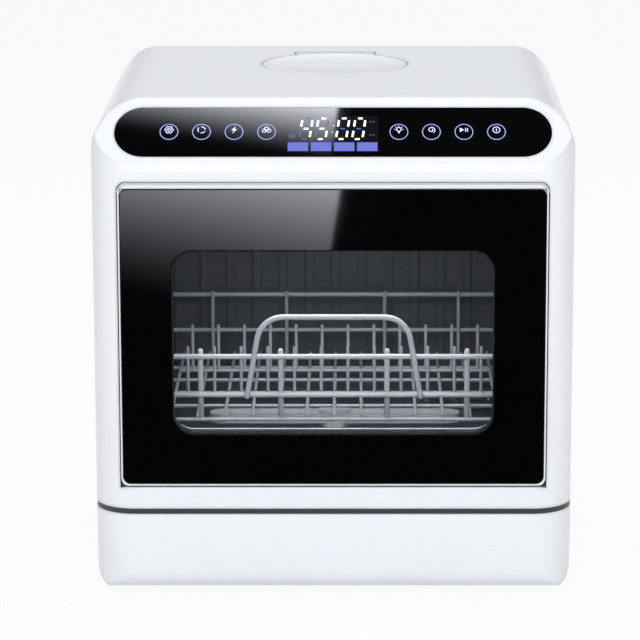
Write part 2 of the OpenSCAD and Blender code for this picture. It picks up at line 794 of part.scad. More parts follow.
module filling_pipe() {
    y1 = tank_y0 + tank_depth / 2;
    bore = spout_r - 2;
    difference() {
        union() {
            y_rod(lid_y + basin_r - 1, y1, 0, spout_z, spout_r);
            translate([0, y1, spout_z]) sphere(r = spout_r + 2.6, $fn = 48);
            z_rod(tank_z1 - 2, spout_z, 0, y1, spout_r + 2);
        }
        y_rod(lid_y + basin_r - 2, y1, 0, spout_z, bore);
        z_rod(tank_z1 - 3, spout_z, 0, y1, bore + 1.5);
    }
}
module tank_pipes() {
    color(dark) {
        emptying_pipe();
        filling_pipe();
    }
}

// ---- Top: fill lid, fan and boards ----

ear_x = tab_half + 2.5;
spout_z = basin_floor + 10;
spout_r = 7;
module fill_basin() {
    top = body_h - skin;
    color(white) {
        difference() {
            union() {
                z_rod(top - 2.5, top, 0, lid_y, lid_r + 9);
                z_rod(basin_floor, top - 1, 0, lid_y, basin_r + 2);
                block(-ear_x - 8, ear_x + 8, lid_y + 50, lid_pivot_y + 13.5, top - 2.5, top);
                both_sides() block(ear_x, ear_x + 5, lid_pivot_y - 5, lid_pivot_y + 5,
                    lid_pivot_z - 5, top - 1);
            }
            z_rod(basin_floor + 2, top + 1, 0, lid_y, basin_r);
            block(-ear_x, ear_x, lid_pivot_y - 8, lid_pivot_y + 10.5, lid_pivot_z - 8, top + 1);
            x_rod(-ear_x - 6, ear_x + 6, lid_pivot_y, lid_pivot_z, pin_r);
            y_rod(lid_y + 30, lid_y + basin_r + 5, 0, spout_z, spout_r);
        }
    }
}
module lid_pin() {
    color(steel) x_rod(-ear_x - 5, ear_x + 5, lid_pivot_y, lid_pivot_z, pin_r);
}
module fill_lid() {
    color(white) difference() {
        union() {
            z_extrude(body_h - lid_t, body_h) {
                translate([0, lid_y]) circle(r = lid_r, $fn = 96);
                translate([-tab_half, lid_y + lid_r - 11]) square([2 * tab_half, 15]);
            }
            z_rod(body_h - 7, body_h - 1, 0, lid_y, basin_r - 1.5);
            block(-tab_half + 2, tab_half - 2, lid_pivot_y - 4, lid_pivot_y + 4,
                lid_pivot_z - 4, body_h - 1);
        }
        x_rod(-tab_half, tab_half, lid_pivot_y, lid_pivot_z, pin_r + run_gap);
        z_rod(body_h - 8, body_h - lid_t - 0.2, 0, lid_y, basin_r - 3.5);
    }
}
module fan_housing() {
    z0 = tub_top;
    color(dark) difference() {
        union() {
            z_rod(z0, z0 + fan_h, fan_x, fan_y, fan_r);
            z_rod(z0 + fan_h - 1, z0 + fan_h + 8, fan_x, fan_y, 16);
        }
        z_rod(z0 + 3, z0 + fan_h - 3, fan_x, fan_y, fan_r - 3);
        z_rod(z0 - 1, z0 + 4, fan_x, fan_y, 16);
        z_rod(z0 + fan_h - 4, z0 + fan_h + 6, fan_x, fan_y, shaft_r - 1 + run_gap);
        for (a = [0:60:300])
            translate([fan_x, fan_y, 0]) rotate(a) z_rod(z0 + fan_h - 4, z0 + fan_h + 1, 26, 0, 6);
    }
}
module fan_impeller() {
    z0 = tub_top;
    color("#d5d8dc") {
        z_rod(z0 + 8, z0 + fan_h + 5, fan_x, fan_y, shaft_r - 1);
        z_rod(z0 + fan_h - 8, z0 + fan_h - 5, fan_x, fan_y, fan_r - 9);
        for (a = [0:30:330])
            translate([fan_x, fan_y, z0 + 7]) rotate(a)
                translate([20, -0.75, 0]) cube([fan_r - 30, 1.5, fan_h - 14]);
    }
}
module power_board() {
    x0 = -tub_half + 4;
    color("#2f6b46") {
        block(x0, x0 + 92, -60, 80, tub_top + 6, tub_top + 8);
        block(x0 + 10, x0 + 40, -40, 0, tub_top + 8, tub_top + 34);
        z_rod(tub_top + 7.5, tub_top + 32, x0 + 66, 40, 11);
        block(x0 + 14, x0 + 44, 20, 56, tub_top + 8, tub_top + 22);
        for (x = [x0 + 6, x0 + 86], y = [-54, 74])
            z_rod(tub_top, tub_top + 7, x, y, 3);
    }
}

display_x = -2;
module panel_glass() {
    color("#0c0d10") on_slope() z_extrude(-skin, panel_t - skin) pill(panel_w, panel_h);
}
module panel_carrier() {
    color("#2b2d30") on_slope() difference() {
        z_extrude(-skin - 2.2, -skin) pill(panel_w + 6, panel_h + 4);
        translate([display_x, 0, 0]) z_extrude(-skin - 3, 0)
            square([display_w + 1, display_h + 1], center = true);
    }
}
module control_board() {
    color("#24445e") on_slope() {
        z_extrude(-skin - 12, -skin - 10.4) pill(panel_w - 40, panel_h - 14);
        translate([display_x, 0, 0]) z_extrude(-skin - 10.6, -skin - 0.2)
            square([display_w, display_h], center = true);
        for (k = [-0.4, -0.15, 0.15, 0.4])
            translate([k * panel_w, 0, -skin - 10.6]) cylinder(h = 8.4, r = 4, $fn = 32);
    }
}

// ---- Door ----

module door_frame() {
    color(white) difference() {
        union() {
            y_extrude(frame_front, frame_back)
                polygon(soft(corners(-door_half, door_half, door_bottom, door_top),
                    [glass_r + 1, glass_r + 1, glass_r + 1, glass_r + 1]));
            y_extrude(door_front + 0.4, frame_back) intersection() {
                polygon(rounded(-door_half, door_half, door_bottom, door_top, glass_r + 1));
                translate([-door_half, glass_z1 + 0.2]) square([2 * door_half, lip_h]);
            }
        }
        y_extrude(frame_front - 1, frame_back + 1) polygon(rounded(-window_half - sight_gap,
            window_half + sight_gap, window_z - sight_gap, window_z1 + sight_gap, window_r));
        x_extrude(-door_half - 1, door_half + 1)
            polygon([[frame_front - 5, door_bottom + 3], [frame_front - 5, door_bottom - 5],
                [frame_front + 5, door_bottom - 5], [frame_front + 0.5, door_bottom]]);
    }
}
module door_glass() {
    color("#15171b") y_extrude(door_front, door_front + glass_t)
        polygon(rounded(-glass_half, glass_half, glass_z0, glass_z1, glass_r));
}
module glass_mask() {
    color("#08090b") y_extrude(door_front + glass_t, frame_front) difference() {
        polygon(rounded(-glass_half, glass_half, glass_z0, glass_z1, glass_r));
        polygon(rounded(-window_half, window_half, window_z, window_z1, window_r));
    }
}
module door_trim() {
    color(steel) difference() {
        y_extrude(door_front + 0.5, frame_front) difference() {
            polygon(rounded(-door_half, door_half, door_bottom, glass_z1 + 10, glass_r + 1));
            polygon(rounded(-glass_half - 0.1, glass_half + 0.1, glass_z0 - 0.1, glass_z1 + 20, glass_r));
            translate([-door_half - 1, glass_z1]) square([2 * door_half + 2, 20]);
        }
        x_extrude(-door_half - 1, door_half + 1)
            polygon([[door_front - 1, glass_z0], [door_front, glass_z0],
                [door_front + glass_z0 - door_bottom, door_bottom],
                [door_front + 3, door_bottom - 2], [door_front - 1, door_bottom - 2]]);
    }
}
liner_half = door_half - 4.8;
liner_z0 = hinge_z + 2;
liner_z1 = tub_top + 1;
liner_wall = 3;
module door_liner() {
    tunnel = sight_gap + liner_wall;
    color("#e6e9ec") difference() {
        union() {
            difference() {
                y_extrude(frame_back, seal_face)
                    polygon(rounded(-liner_half, liner_half, liner_z0, liner_z1, 14));
                y_extrude(frame_back - 1, seal_face - liner_wall) polygon(rounded(-liner_half + liner_wall,
                    liner_half - liner_wall, liner_z0 + liner_wall, liner_z1 - liner_wall, 12));
            }
            y_extrude(seal_face - 1, plug_face)
                polygon(rounded(-mouth_half + 4, mouth_half - 4, mouth_z + 6, mouth_top - 6, mouth_r - 4));
            y_extrude(frame_back, plug_face) polygon(rounded(-window_half - tunnel,
                window_half + tunnel, window_z - tunnel, window_z1 + tunnel, window_r));
        }
        y_extrude(frame_back - 1, plug_face + 1) polygon(rounded(-window_half - sight_gap,
            window_half + sight_gap, window_z - sight_gap, window_z1 + sight_gap, window_r));
    }
}
module inner_glass() {
    color("#9fb0bd") y_extrude(seal_face - 4, seal_face - 1) polygon(rounded(
        -window_half - sight_gap + 0.2, window_half + sight_gap - 0.2,
        window_z - sight_gap + 0.2, window_z1 + sight_gap - 0.2, window_r - 0.2));
}
arm_plate = 2.5;
module hinge_arms() {
    color(steel) both_sides() {
        block(liner_half, liner_half + arm_plate, hinge_y - 6, seal_face - 2, hinge_z - 7, hinge_z + 50);
        x_rod(liner_half + 0.5, bracket_x + bracket_t + 2, hinge_y, hinge_z, hinge_pin_r);
    }
}
module latch_striker() {
    color(steel) {
        block(-14, 14, frame_back, frame_back + 2, tongue_z - 2.5, tongue_z + 5);
        block(-9, 9, frame_back + 1, tongue_y, tongue_z, tongue_z + tongue_t);
    }
}
cup_x0 = 55;
cup_x1 = 125;
cup_h = 27;
cup_z1 = mouth_top - 8;
cup_z0 = cup_z1 - cup_h;
cup_depth = 10;
module dispenser_cup() {
    color(grey) difference() {
        block(cup_x0, cup_x1, plug_face, plug_face + cup_depth, cup_z0, cup_z1);
        block(cup_x0 + 3, cup_x1 - 3, plug_face + 2, plug_face + cup_depth + 1, cup_z0 + 3, cup_z1 - 3);
    }
}
module dispenser_lid() {
    y0 = plug_face + cup_depth + touch;
    color(white) {
        block(cup_x0, cup_x1, y0, y0 + 1.6, cup_z0 - 1.5, cup_z1 + 1.5);
        block(cup_x0 + 4, cup_x0 + 8, y0 + 1, y0 + 4, cup_z0 + 4, cup_z1 - 4);
        for (z = [cup_z0 - 1.5, cup_z1 + touch])
            block(cup_x0, cup_x1, y0 - 3, y0 + 1, z, z + 1.2);
    }
}

// ---- Rack ----

module post(x, y, z0, z1, d) {
    translate([x, y, z0]) cylinder(h = z1 - z0, d = d, $fn = 32);
}
// Uprights of a fence at distances u along it
fence_u = [-post_pitch - 24.5, -post_pitch / 2, post_pitch / 2, post_pitch + 24.5];
module rack_front() {
    y = rack_front_y;
    lean = atan2(toe, rack_mid);
    color(steel) {
        x_rod(-rack_half, rack_half, y, rack_rim_z, rim_d / 2);
        x_rod(-rack_half, rack_half, y, rack_mid_z, rim_d / 2 - 0.2);
        for (x = concat(fence_u, [-rack_half, rack_half])) {
            post(x, y + (rim_d + wire_d) / 2 - 2 * weld, rack_mid_z - 2, rack_rim_z + 4, wire_d);
            translate([x, y + (rim_d + wire_d) / 2 - 2 * weld, rack_mid_z - 1.8])
                rotate([180 + lean, 0, 0])
                cylinder(h = norm([toe, rack_mid]), d = wire_d + 0.1, $fn = 32);
        }
    }
}
module rack_rear() {
    color(steel) {
        for (z = [rack_rim_z, rack_mid_z])
            x_rod(-rack_half, rack_half, rack_rear_y, z, z == rack_rim_z ? rim_d / 2 : rim_d / 2 - 0.2);
        for (x = concat(fence_u, [-rack_half, rack_half]))
            post(x, rack_rear_y - (rim_d + wire_d) / 2 + 2 * weld, rack_floor_z, rack_rim_z + 4, wire_d);
    }
}
module rack_sides() {
    y0 = rack_front_y + rim_d / 2;
    y1 = rack_rear_y - rim_d / 2;
    color(steel) both_sides() {
        for (z = [rack_rim_z, rack_mid_z])
            y_rod(y0 + touch, y1 - touch, rack_half - wire_d / 2 - rim_d / 2, z, rim_d / 2 - 0.1);
        for (k = [1:4])
            post(rack_half - wire_d / 2 - rim_d - wire_d / 2 + 2 * weld, y0 + (y1 - y0) * k / 5,
                rack_floor_z, rack_rim_z + 4, wire_d);
    }
}
module rack_floor() {
    n = floor((rack_half - 8) / floor_pitch);
    y0 = rack_front_y + toe;
    color(steel) {
        for (k = [-n:n])
            y_rod(y0, rack_rear_y - 1, k * floor_pitch, rack_floor_z, wire_d / 2 - 0.2);
        for (k = [0:5])
            x_rod(-rack_half, rack_half, y0 + (rack_rear_y - 3 - y0) * k / 5,
                rack_floor_z - wire_d + 2 * weld, wire_d / 2);
    }
}
module rack_tines() {
    n = floor(tine_half / floor_pitch);
    color(steel) for (y = tine_rows, k = [-n:n - 1]) {
        x = (k + 0.5) * floor_pitch;
        post(x, y, rack_floor_z + wire_d - 2 * weld, rack_floor_z + tine_h, wire_d - 0.5);
        if (k == -n) x_rod(-n * floor_pitch, n * floor_pitch, y,
            rack_floor_z + wire_d - 2 * weld, wire_d / 2);
    }
}
handle_bend = 24;
handle_spread = 13;
module rack_handle() {
    y = rack_front_y - (rim_d + handle_d) / 2 + 2 * weld;
    top = rack_rim_z + handle_h;
    leg_h = top - rack_mid_z;
    lean = atan2(handle_spread, leg_h);
    turn = 90 - lean;
    // Where the straight top and the straight legs end, beside the bends
    bend_x = handle_half - handle_bend * tan(turn / 2);
    color(steel) {
        x_rod(-bend_x - 0.3, bend_x + 0.3, y, top, handle_d / 2 - 0.05);
        both_sides() {
            translate([bend_x, y, top - handle_bend]) rotate([90, 0, 0]) rotate(90 - turn)
                rotate_extrude(angle = turn, $fn = 96)
                translate([handle_bend, 0]) circle(d = handle_d, $fn = 32);
            translate([bend_x + handle_bend * sin(turn), y, top - handle_bend * (1 - cos(turn))])
                rotate([0, 180 - lean, 0]) translate([0, 0, -0.3])
                cylinder(h = (leg_h - handle_bend * (1 - cos(turn))) / cos(lean) + 0.3,
                    d = handle_d - 0.1, $fn = 32);
        }
    }
}
module rack_glides() {
    x0 = rack_half - wire_d / 2 - rim_d;
    color("#dfe3e8") both_sides() for (y = [rack_front_y + 14, rack_rear_y - 44])
        difference() {
            block(x0 - 0.4, rack_half + 4, y, y + 30, rail_top + touch, rack_mid_z + rim_d);
            block(x0 - 6, rack_half - 1.2, y - 1, y + 31, rail_top - 1, rack_mid_z - rim_d);
            y_rod(y - 1, y + 31, rack_half - wire_d / 2 - rim_d / 2, rack_mid_z, rim_d / 2 - 0.1);
        }
}

outer_casing();
trim_band();
base_housing();
tub_cradle();
feet();
rear_panel();
rear_screws();
connector_sleeve();
connector_plate();
inlet_valve();
drain_spigot();
cord_gland();
door_jamb();
hinge_brackets();
hinge_bushes();
latch_body();
latch_pawl();
tub();
tub_seal();
rack_rails();
sump();
filter_cup();
arm_post();
spray_arm();
wash_pump_motor();
wash_pump_volute();
wash_impeller();
delivery_pipe();
heater();
drain_pump();
drain_impeller();
drain_pipe();
water_tank();
tank_pipes();
fill_basin();
lid_pin();
fill_lid();
fan_housing();
fan_impeller();
power_board();
panel_carrier();
panel_glass();
control_board();
door_frame();
door_glass();
glass_mask();
door_trim();
door_liner();
inner_glass();
hinge_arms();
latch_striker();
dispenser_cup();
dispenser_lid();
rack_front();
rack_rear();
rack_sides();
rack_floor();
rack_tines();
rack_handle();
rack_glides();
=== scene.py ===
import json
import math

import bmesh
import bpy
from mathutils import Matrix, Vector


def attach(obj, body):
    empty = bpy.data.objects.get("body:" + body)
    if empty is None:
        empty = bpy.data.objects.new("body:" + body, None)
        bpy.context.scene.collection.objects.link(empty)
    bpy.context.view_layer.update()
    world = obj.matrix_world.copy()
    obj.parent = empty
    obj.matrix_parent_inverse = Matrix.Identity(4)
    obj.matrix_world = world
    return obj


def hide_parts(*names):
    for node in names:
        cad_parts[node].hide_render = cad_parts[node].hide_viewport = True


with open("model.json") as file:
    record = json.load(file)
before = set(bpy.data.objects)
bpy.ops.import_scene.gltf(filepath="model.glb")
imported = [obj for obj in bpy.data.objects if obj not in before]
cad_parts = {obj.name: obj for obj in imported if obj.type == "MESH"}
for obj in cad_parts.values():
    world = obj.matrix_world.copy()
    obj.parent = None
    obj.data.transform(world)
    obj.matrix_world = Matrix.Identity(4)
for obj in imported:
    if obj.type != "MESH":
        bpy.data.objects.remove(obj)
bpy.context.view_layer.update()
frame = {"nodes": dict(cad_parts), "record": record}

MM = 0.001
nodes = frame["nodes"]
slot_of = {part["node"]: part["material_slot"] for part in frame["record"]["subparts"]}
scene = bpy.context.scene

# ---- Camera: a long lens in front of the machine, a little above it and looking slightly down ----

CAMERA_DOWN = 12.22
camera_data = bpy.data.cameras.new("front_camera")
camera_data.lens = 180
camera_data.sensor_width = 36
camera_data.shift_x = -0.0576
camera_data.shift_y = -0.07
camera = bpy.data.objects.new("front_camera", camera_data)
camera.location = (0.021, -2.9614, 0.8928)
camera.rotation_euler = (math.radians(90 - CAMERA_DOWN), 0, 0)
scene.collection.objects.link(camera)
scene.camera = camera
scene.view_settings.view_transform = "Standard"


# ---- Shader groups ----

# Where a Mix node keeps its two colours, and where it gives their blend
MIX_FIRST, MIX_SECOND, MIX_RESULT = 6, 7, 2


class Sheet:
    """One node tree, with short ways to add nodes and join them."""

    def __init__(self, tree):
        self.tree = tree

    def add(self, kind, **settings):
        node = self.tree.nodes.new(kind)
        for key, value in settings.items():
            setattr(node, key, value)
        return node

    def join(self, source, target):
        self.tree.links.new(source, target)

    def feed(self, socket, value):
        if isinstance(value, bpy.types.NodeSocket):
            self.join(value, socket)
        else:
            socket.default_value = value

    def math(self, operation, first, second=0.0, clamp=False):
        node = self.add("ShaderNodeMath", operation=operation, use_clamp=clamp)
        self.feed(node.inputs[0], first)
        self.feed(node.inputs[1], second)
        return node.outputs[0]

    def vector(self, operation, first, second):
        node = self.add("ShaderNodeVectorMath", operation=operation)
        self.feed(node.inputs[0], first)
        self.feed(node.inputs[1], second)
        return node.outputs["Value" if operation == "DOT_PRODUCT" else "Vector"]

    def swing(self, value, amount):
        """How far a noise value stands from its middle, times the amount."""
        return self.math("MULTIPLY", self.math("SUBTRACT", value, 0.5), amount)

    def tint(self, colour, value, amount):
        """The colour, made lighter and darker by the amount as a noise value swings."""
        node = self.add("ShaderNodeVectorMath", operation="SCALE")
        self.feed(node.inputs[0], colour)
        self.join(self.math("ADD", self.swing(value, amount), 1.0), node.inputs["Scale"])
        return node.outputs["Vector"]

    def blend(self, factor, first, second):
        node = self.add("ShaderNodeMix", data_type="RGBA")
        self.feed(node.inputs["Factor"], factor)
        self.feed(node.inputs[MIX_FIRST], first)
        self.feed(node.inputs[MIX_SECOND], second)
        return node.outputs[MIX_RESULT]

    def noise(self, where, scale, detail=2.0, rough=0.5):
        node = self.add("ShaderNodeTexNoise")
        self.join(where, node.inputs["Vector"])
        self.feed(node.inputs["Scale"], scale)
        node.inputs["Detail"].default_value = detail
        node.inputs["Roughness"].default_value = rough
        return node.outputs["Fac"]

    def ramp(self, value, low, high):
        node = self.add("ShaderNodeMapRange")
        self.join(value, node.inputs["Value"])
        node.inputs["From Min"].default_value = low
        node.inputs["From Max"].default_value = high
        return node.outputs["Result"]

    def object_place(self):
        return self.add("ShaderNodeTexCoord").outputs["Object"]

    def surface(self, factor, first, second, output="Material Output"):
        """Mix two shaders into the tree's surface."""
        mix = self.add("ShaderNodeMixShader")
        for socket, source in zip(mix.inputs, (factor, first, second)):
            self.join(source, socket)
        self.join(mix.outputs[0], self.tree.nodes[output].inputs["Surface"])


def shader_group(name, inputs, outputs):
    group = bpy.data.node_groups.new(name, "ShaderNodeTree")
    for label, value in inputs:
        kind = "NodeSocketColor" if isinstance(value, tuple) else "NodeSocketFloat"
        socket = group.interface.new_socket(label, in_out="INPUT", socket_type=kind)
        socket.default_value = value
    for label, kind in outputs:
        group.interface.new_socket(label, in_out="OUTPUT", socket_type=kind)
    sheet = Sheet(group)
    source = sheet.add("NodeGroupInput").outputs
    sink = sheet.add("NodeGroupOutput").inputs
    return group, sheet, source, sink


def moulded_group():
    """Plastic, rubber and paint: slow change of shade, a fine grain, and rubbed edges."""
    group, s, given, out = shader_group(
        "moulded_finish",
        [("Colour", (0.8, 0.8, 0.8, 1)), ("Worn Colour", (0.9, 0.9, 0.9, 1)), ("Shade Change", 0.03),
         ("Gloss", 0.3), ("Gloss Change", 0.05), ("Grain Scale", 1500.0), ("Edge Size", 0.0015), ("Edge Wear", 0.3)],
        [("Colour", "NodeSocketColor"), ("Roughness", "NodeSocketFloat"), ("Height", "NodeSocketFloat"),
         ("Soft Normal", "NodeSocketVector")])
    place = s.object_place()
    slow = s.noise(place, scale=9.0, detail=3.0)
    patchy = s.noise(place, scale=70.0, detail=4.0)
    tinted = s.tint(given["Colour"], slow, given["Shade Change"])
    bevel = s.add("ShaderNodeBevel", samples=4)
    s.join(given["Edge Size"], bevel.inputs["Radius"])
    facing = s.vector("DOT_PRODUCT", bevel.outputs["Normal"], s.add("ShaderNodeNewGeometry").outputs["Normal"])
    edge = s.ramp(facing, low=0.985, high=0.80)
    rub = s.math("MULTIPLY", edge, s.ramp(patchy, low=0.35, high=0.65), clamp=True)
    rub = s.math("MULTIPLY", rub, given["Edge Wear"], clamp=True)
    s.join(s.blend(rub, tinted, given["Worn Colour"]), out["Colour"])
    s.join(s.math("ADD", given["Gloss"], s.swing(patchy, given["Gloss Change"]), clamp=True), out["Roughness"])
    s.join(s.noise(place, scale=given["Grain Scale"]), out["Height"])
    s.join(bevel.outputs["Normal"], out["Soft Normal"])
    return group


def brushed_group():
    """Metal drawn or ground along one axis: long fine scratches in its shade and gloss."""
    group, s, given, out = shader_group(
        "brushed_metal",
        [("Colour", (0.6, 0.6, 0.6, 1)), ("Line Scale", 900.0), ("Gloss", 0.3), ("Gloss Change", 0.2),
         ("Shade Change", 0.15)],
        [("Colour", "NodeSocketColor"), ("Roughness", "NodeSocketFloat"), ("Height", "NodeSocketFloat")])
    place = s.object_place()
    stretch = s.add("ShaderNodeMapping")
    stretch.inputs["Scale"].default_value = (0.03, 1, 1)
    s.join(place, stretch.inputs["Vector"])
    lines = s.noise(stretch.outputs["Vector"], scale=given["Line Scale"], detail=3.0, rough=0.6)
    slow = s.noise(place, scale=25.0)
    s.join(s.tint(given["Colour"], lines, given["Shade Change"]), out["Colour"])
    both = s.math("ADD", s.swing(lines, given["Gloss Change"]), s.swing(slow, given["Gloss Change"]))
    s.join(s.math("ADD", given["Gloss"], both, clamp=True), out["Roughness"])
    s.join(lines, out["Height"])
    return group


def smeared_group():
    """Glass: a faint smear in its colour and gloss."""
    group, s, given, out = shader_group(
        "smeared_glass",
        [("Colour", (0.9, 0.9, 0.9, 1)), ("Shade Change", -0.02), ("Cloud", 0.003)],
        [("Colour", "NodeSocketColor"), ("Roughness", "NodeSocketFloat")])
    smear = s.noise(s.object_place(), scale=30.0, detail=3.0)
    s.join(s.tint(given["Colour"], smear, given["Shade Change"]), out["Colour"])
    s.join(s.math("MULTIPLY", smear, given["Cloud"]), out["Roughness"])
    return group


def uneven_group():
    """Lit print: its light is a little uneven."""
    group, s, given, out = shader_group(
        "uneven_light",
        [("Dim Colour", (0.8, 0.8, 0.8, 1)), ("Bright Colour", (0.9, 0.9, 0.9, 1))],
        [("Colour", "NodeSocketColor")])
    glow = s.ramp(s.noise(s.object_place(), scale=400.0), low=0.2, high=0.8)
    s.join(s.blend(glow, given["Dim Colour"], given["Bright Colour"]), out["Colour"])
    return group


MOULDED = moulded_group()
BRUSHED = brushed_group()
SMEARED = smeared_group()
UNEVEN = uneven_group()


def new_material(name):
    material = bpy.data.materials.new(name)
    material.use_nodes = True
    return material, Sheet(material.node_tree), material.node_tree.nodes["Principled BSDF"]


def rgba(colour):
    return (*colour, 1.0)


def place_group(sheet, group, values):
    """Put a group into a material with its own values, and give its outputs."""
    node = sheet.add("ShaderNodeGroup", node_tree=group)
    for key, value in values.items():
        node.inputs[key].default_value = value
    return node.outputs


def grained(sheet, effect, shader, depth):
    """Join a finish to a shader, its height as a bump this deep, in metres."""
    sheet.join(effect["Colour"], shader.inputs["Base Color"])
    sheet.join(effect["Roughness"], shader.inputs["Roughness"])
    bump = sheet.add("ShaderNodeBump")
    bump.inputs["Distance"].default_value = depth
    bump.inputs["Strength"].default_value = 1.0
    sheet.join(effect["Height"], bump.inputs["Height"])
    if "Soft Normal" in effect:
        sheet.join(effect["Soft Normal"], bump.inputs["Normal"])
    sheet.join(bump.outputs["Normal"], shader.inputs["Normal"])


def plastic(name, colour, worn, gloss=0.25, change=0.02, grain=1500.0, depth=0.00001, wear=0.3, coat=0.0,
            specular=0.5, edge=0.0012, gloss_change=0.06):
    material, sheet, shader = new_material(name)
    effect = place_group(sheet, MOULDED, {
        "Colour": rgba(colour), "Worn Colour": rgba(worn), "Shade Change": change, "Gloss": gloss,
        "Gloss Change": gloss_change, "Grain Scale": grain, "Edge Size": edge, "Edge Wear": wear})
    grained(sheet, effect, shader, depth)
    shader.inputs["Specular IOR Level"].default_value = specular
    shader.inputs["Coat Weight"].default_value = coat
    shader.inputs["Coat Roughness"].default_value = 0.08
    return material


def metal(name, colour, gloss=0.3, lines=900.0, depth=0.00001, change=0.2, shade=0.15):
    material, sheet, shader = new_material(name)
    effect = place_group(sheet, BRUSHED, {
        "Colour": rgba(colour), "Line Scale": lines, "Gloss": gloss, "Gloss Change": change, "Shade Change": shade})
    grained(sheet, effect, shader, depth)
    shader.inputs["Metallic"].default_value = 1.0
    return material


def glass(name, colour, bend, cloud=0.003, change=-0.02):
    """Sheet glass: clear to the lamps, with a faint smear in its gloss and colour."""
    material, sheet, shader = new_material(name)
    shader.inputs["Transmission Weight"].default_value = 1.0
    shader.inputs["IOR"].default_value = bend
    effect = place_group(sheet, SMEARED, {"Colour": rgba(colour), "Shade Change": change, "Cloud": cloud})
    sheet.join(effect["Colour"], shader.inputs["Base Color"])
    sheet.join(effect["Roughness"], shader.inputs["Roughness"])
    clear = sheet.add("ShaderNodeBsdfTransparent")
    clear.inputs["Color"].default_value = rgba(0.5 + 0.5 * channel for channel in colour)
    paths = sheet.add("ShaderNodeLightPath")
    sheet.surface(paths.outputs["Is Shadow Ray"], shader.outputs[0], clear.outputs[0])
    return material


def lit(name, colour, strength, dimmest=0.86):
    """A lamp segment behind print: its light is a little uneven."""
    material, sheet, shader = new_material(name)
    dim = rgba(dimmest * channel for channel in colour)
    effect = place_group(sheet, UNEVEN, {"Dim Colour": dim, "Bright Colour": rgba(colour)})
    sheet.join(effect["Colour"], shader.inputs["Emission Color"])
    sheet.join(effect["Colour"], shader.inputs["Base Color"])
    shader.inputs["Emission Strength"].default_value = strength
    shader.inputs["Roughness"].default_value = 0.4
    return material


CASING_WHITE = (0.86, 0.875, 0.90)
# Coated glass sends back very little light of its own
GLASS_BEND = 1.12
finishes = {
    "white_casing": plastic("casing_white", CASING_WHITE, (0.93, 0.935, 0.94), gloss=0.24, change=0.012, grain=900.0,
                            depth=0.000004, wear=0.2, coat=0.25, edge=0.005),
    "white_inner": plastic("inner_white", (0.76, 0.78, 0.80), (0.86, 0.87, 0.88), gloss=0.38, change=0.03,
                           grain=1400.0, depth=0.000012),
    "dark_band": plastic("band_charcoal", (0.034, 0.037, 0.042), (0.10, 0.105, 0.11), gloss=0.38, change=0.1),
    "grey_plastic": plastic("grey_moulding", (0.26, 0.28, 0.31), (0.40, 0.42, 0.44), gloss=0.45, change=0.08,
                            grain=1100.0, depth=0.00002),
    "dark_plastic": plastic("black_moulding", (0.018, 0.019, 0.021), (0.07, 0.07, 0.075), gloss=0.42, change=0.15,
                            grain=1100.0, depth=0.00002),
    "light_plastic": plastic("pale_moulding", (0.62, 0.64, 0.66), (0.78, 0.79, 0.80), gloss=0.33, change=0.04,
                             grain=1300.0, depth=0.000012),
    "grey_sheet": plastic("painted_sheet", (0.42, 0.45, 0.48), (0.60, 0.61, 0.62), gloss=0.42, change=0.05,
                          grain=2200.0, depth=0.00002, wear=0.5),
    "bright_steel": metal("bright_steel", (0.60, 0.61, 0.63), gloss=0.26),
    "silver_trim": plastic("trim_white", (0.80, 0.81, 0.83), (0.90, 0.90, 0.91), gloss=0.2, change=0.02, grain=1500.0,
                           depth=0.000004, coat=0.3, edge=0.0004),
    "rack_wire": plastic("coated_wire", (0.40, 0.43, 0.46), (0.52, 0.54, 0.56), gloss=0.28, change=0.08,
                         grain=1500.0, depth=0.00002, coat=0.3),
    "tub_grey": plastic("tub_slate", (0.062, 0.070, 0.080), (0.13, 0.14, 0.15), gloss=0.33, change=0.12,
                        grain=1200.0, depth=0.000012, wear=0.2),
    "seal_rubber": plastic("seal_rubber", (0.022, 0.024, 0.027), (0.05, 0.05, 0.055), gloss=0.6, change=0.2,
                           grain=1600.0, depth=0.00003, wear=0.2),
    "foot_rubber": plastic("foot_rubber", (0.012, 0.012, 0.014), (0.05, 0.05, 0.05), gloss=0.7, change=0.2,
                           grain=1200.0, depth=0.00004),
    "dark_rubber": plastic("hose_rubber", (0.012, 0.012, 0.013), (0.05, 0.05, 0.05), gloss=0.5, change=0.2,
                           grain=1600.0, depth=0.00002),
    # The same coated wire as rack_wire, in a lighter copy for the front grid and handle: the extra lightness is
    # painted light
    "rack_wire_bright": plastic("coated_wire_painted_light", (0.56, 0.58, 0.61), (0.66, 0.68, 0.70), gloss=0.2,
                                change=0.06, grain=1500.0, depth=0.00001, coat=0.5),
    "window_print": plastic("window_print", (0.030, 0.034, 0.040), (0.05, 0.055, 0.06), gloss=0.5, change=0.1,
                            specular=0.1, wear=0.1),
    "tank_plastic": plastic("tank_milky", (0.52, 0.56, 0.60), (0.66, 0.68, 0.70), gloss=0.4, change=0.05),
    "board_green": plastic("circuit_board", (0.012, 0.06, 0.035), (0.10, 0.16, 0.10), gloss=0.3, change=0.25,
                           grain=400.0, depth=0.00006),
    "panel_black": plastic("panel_black", (0.0012, 0.0013, 0.0016), (0.01, 0.01, 0.012), gloss=0.03, change=0.2,
                           grain=300.0, depth=0.0000002, wear=0.1, specular=0.03, gloss_change=0.01, edge=0.0004),
    "door_black": plastic("door_black", (0.0012, 0.0013, 0.0016), (0.008, 0.008, 0.010), gloss=0.03, change=0.2,
                          grain=300.0, depth=0.0000002, wear=0.1, specular=0.1, gloss_change=0.01, edge=0.0004),
    "door_glass": glass("smoked_glass", (0.70, 0.70, 0.715), GLASS_BEND),
    "inner_glass": glass("clear_glass", (0.93, 0.945, 0.95), GLASS_BEND),
}


# ---- Pieces ----

# Corners nearer than this become one, in millimetres
MERGE, PRINT_MERGE = 0.002, 0.001


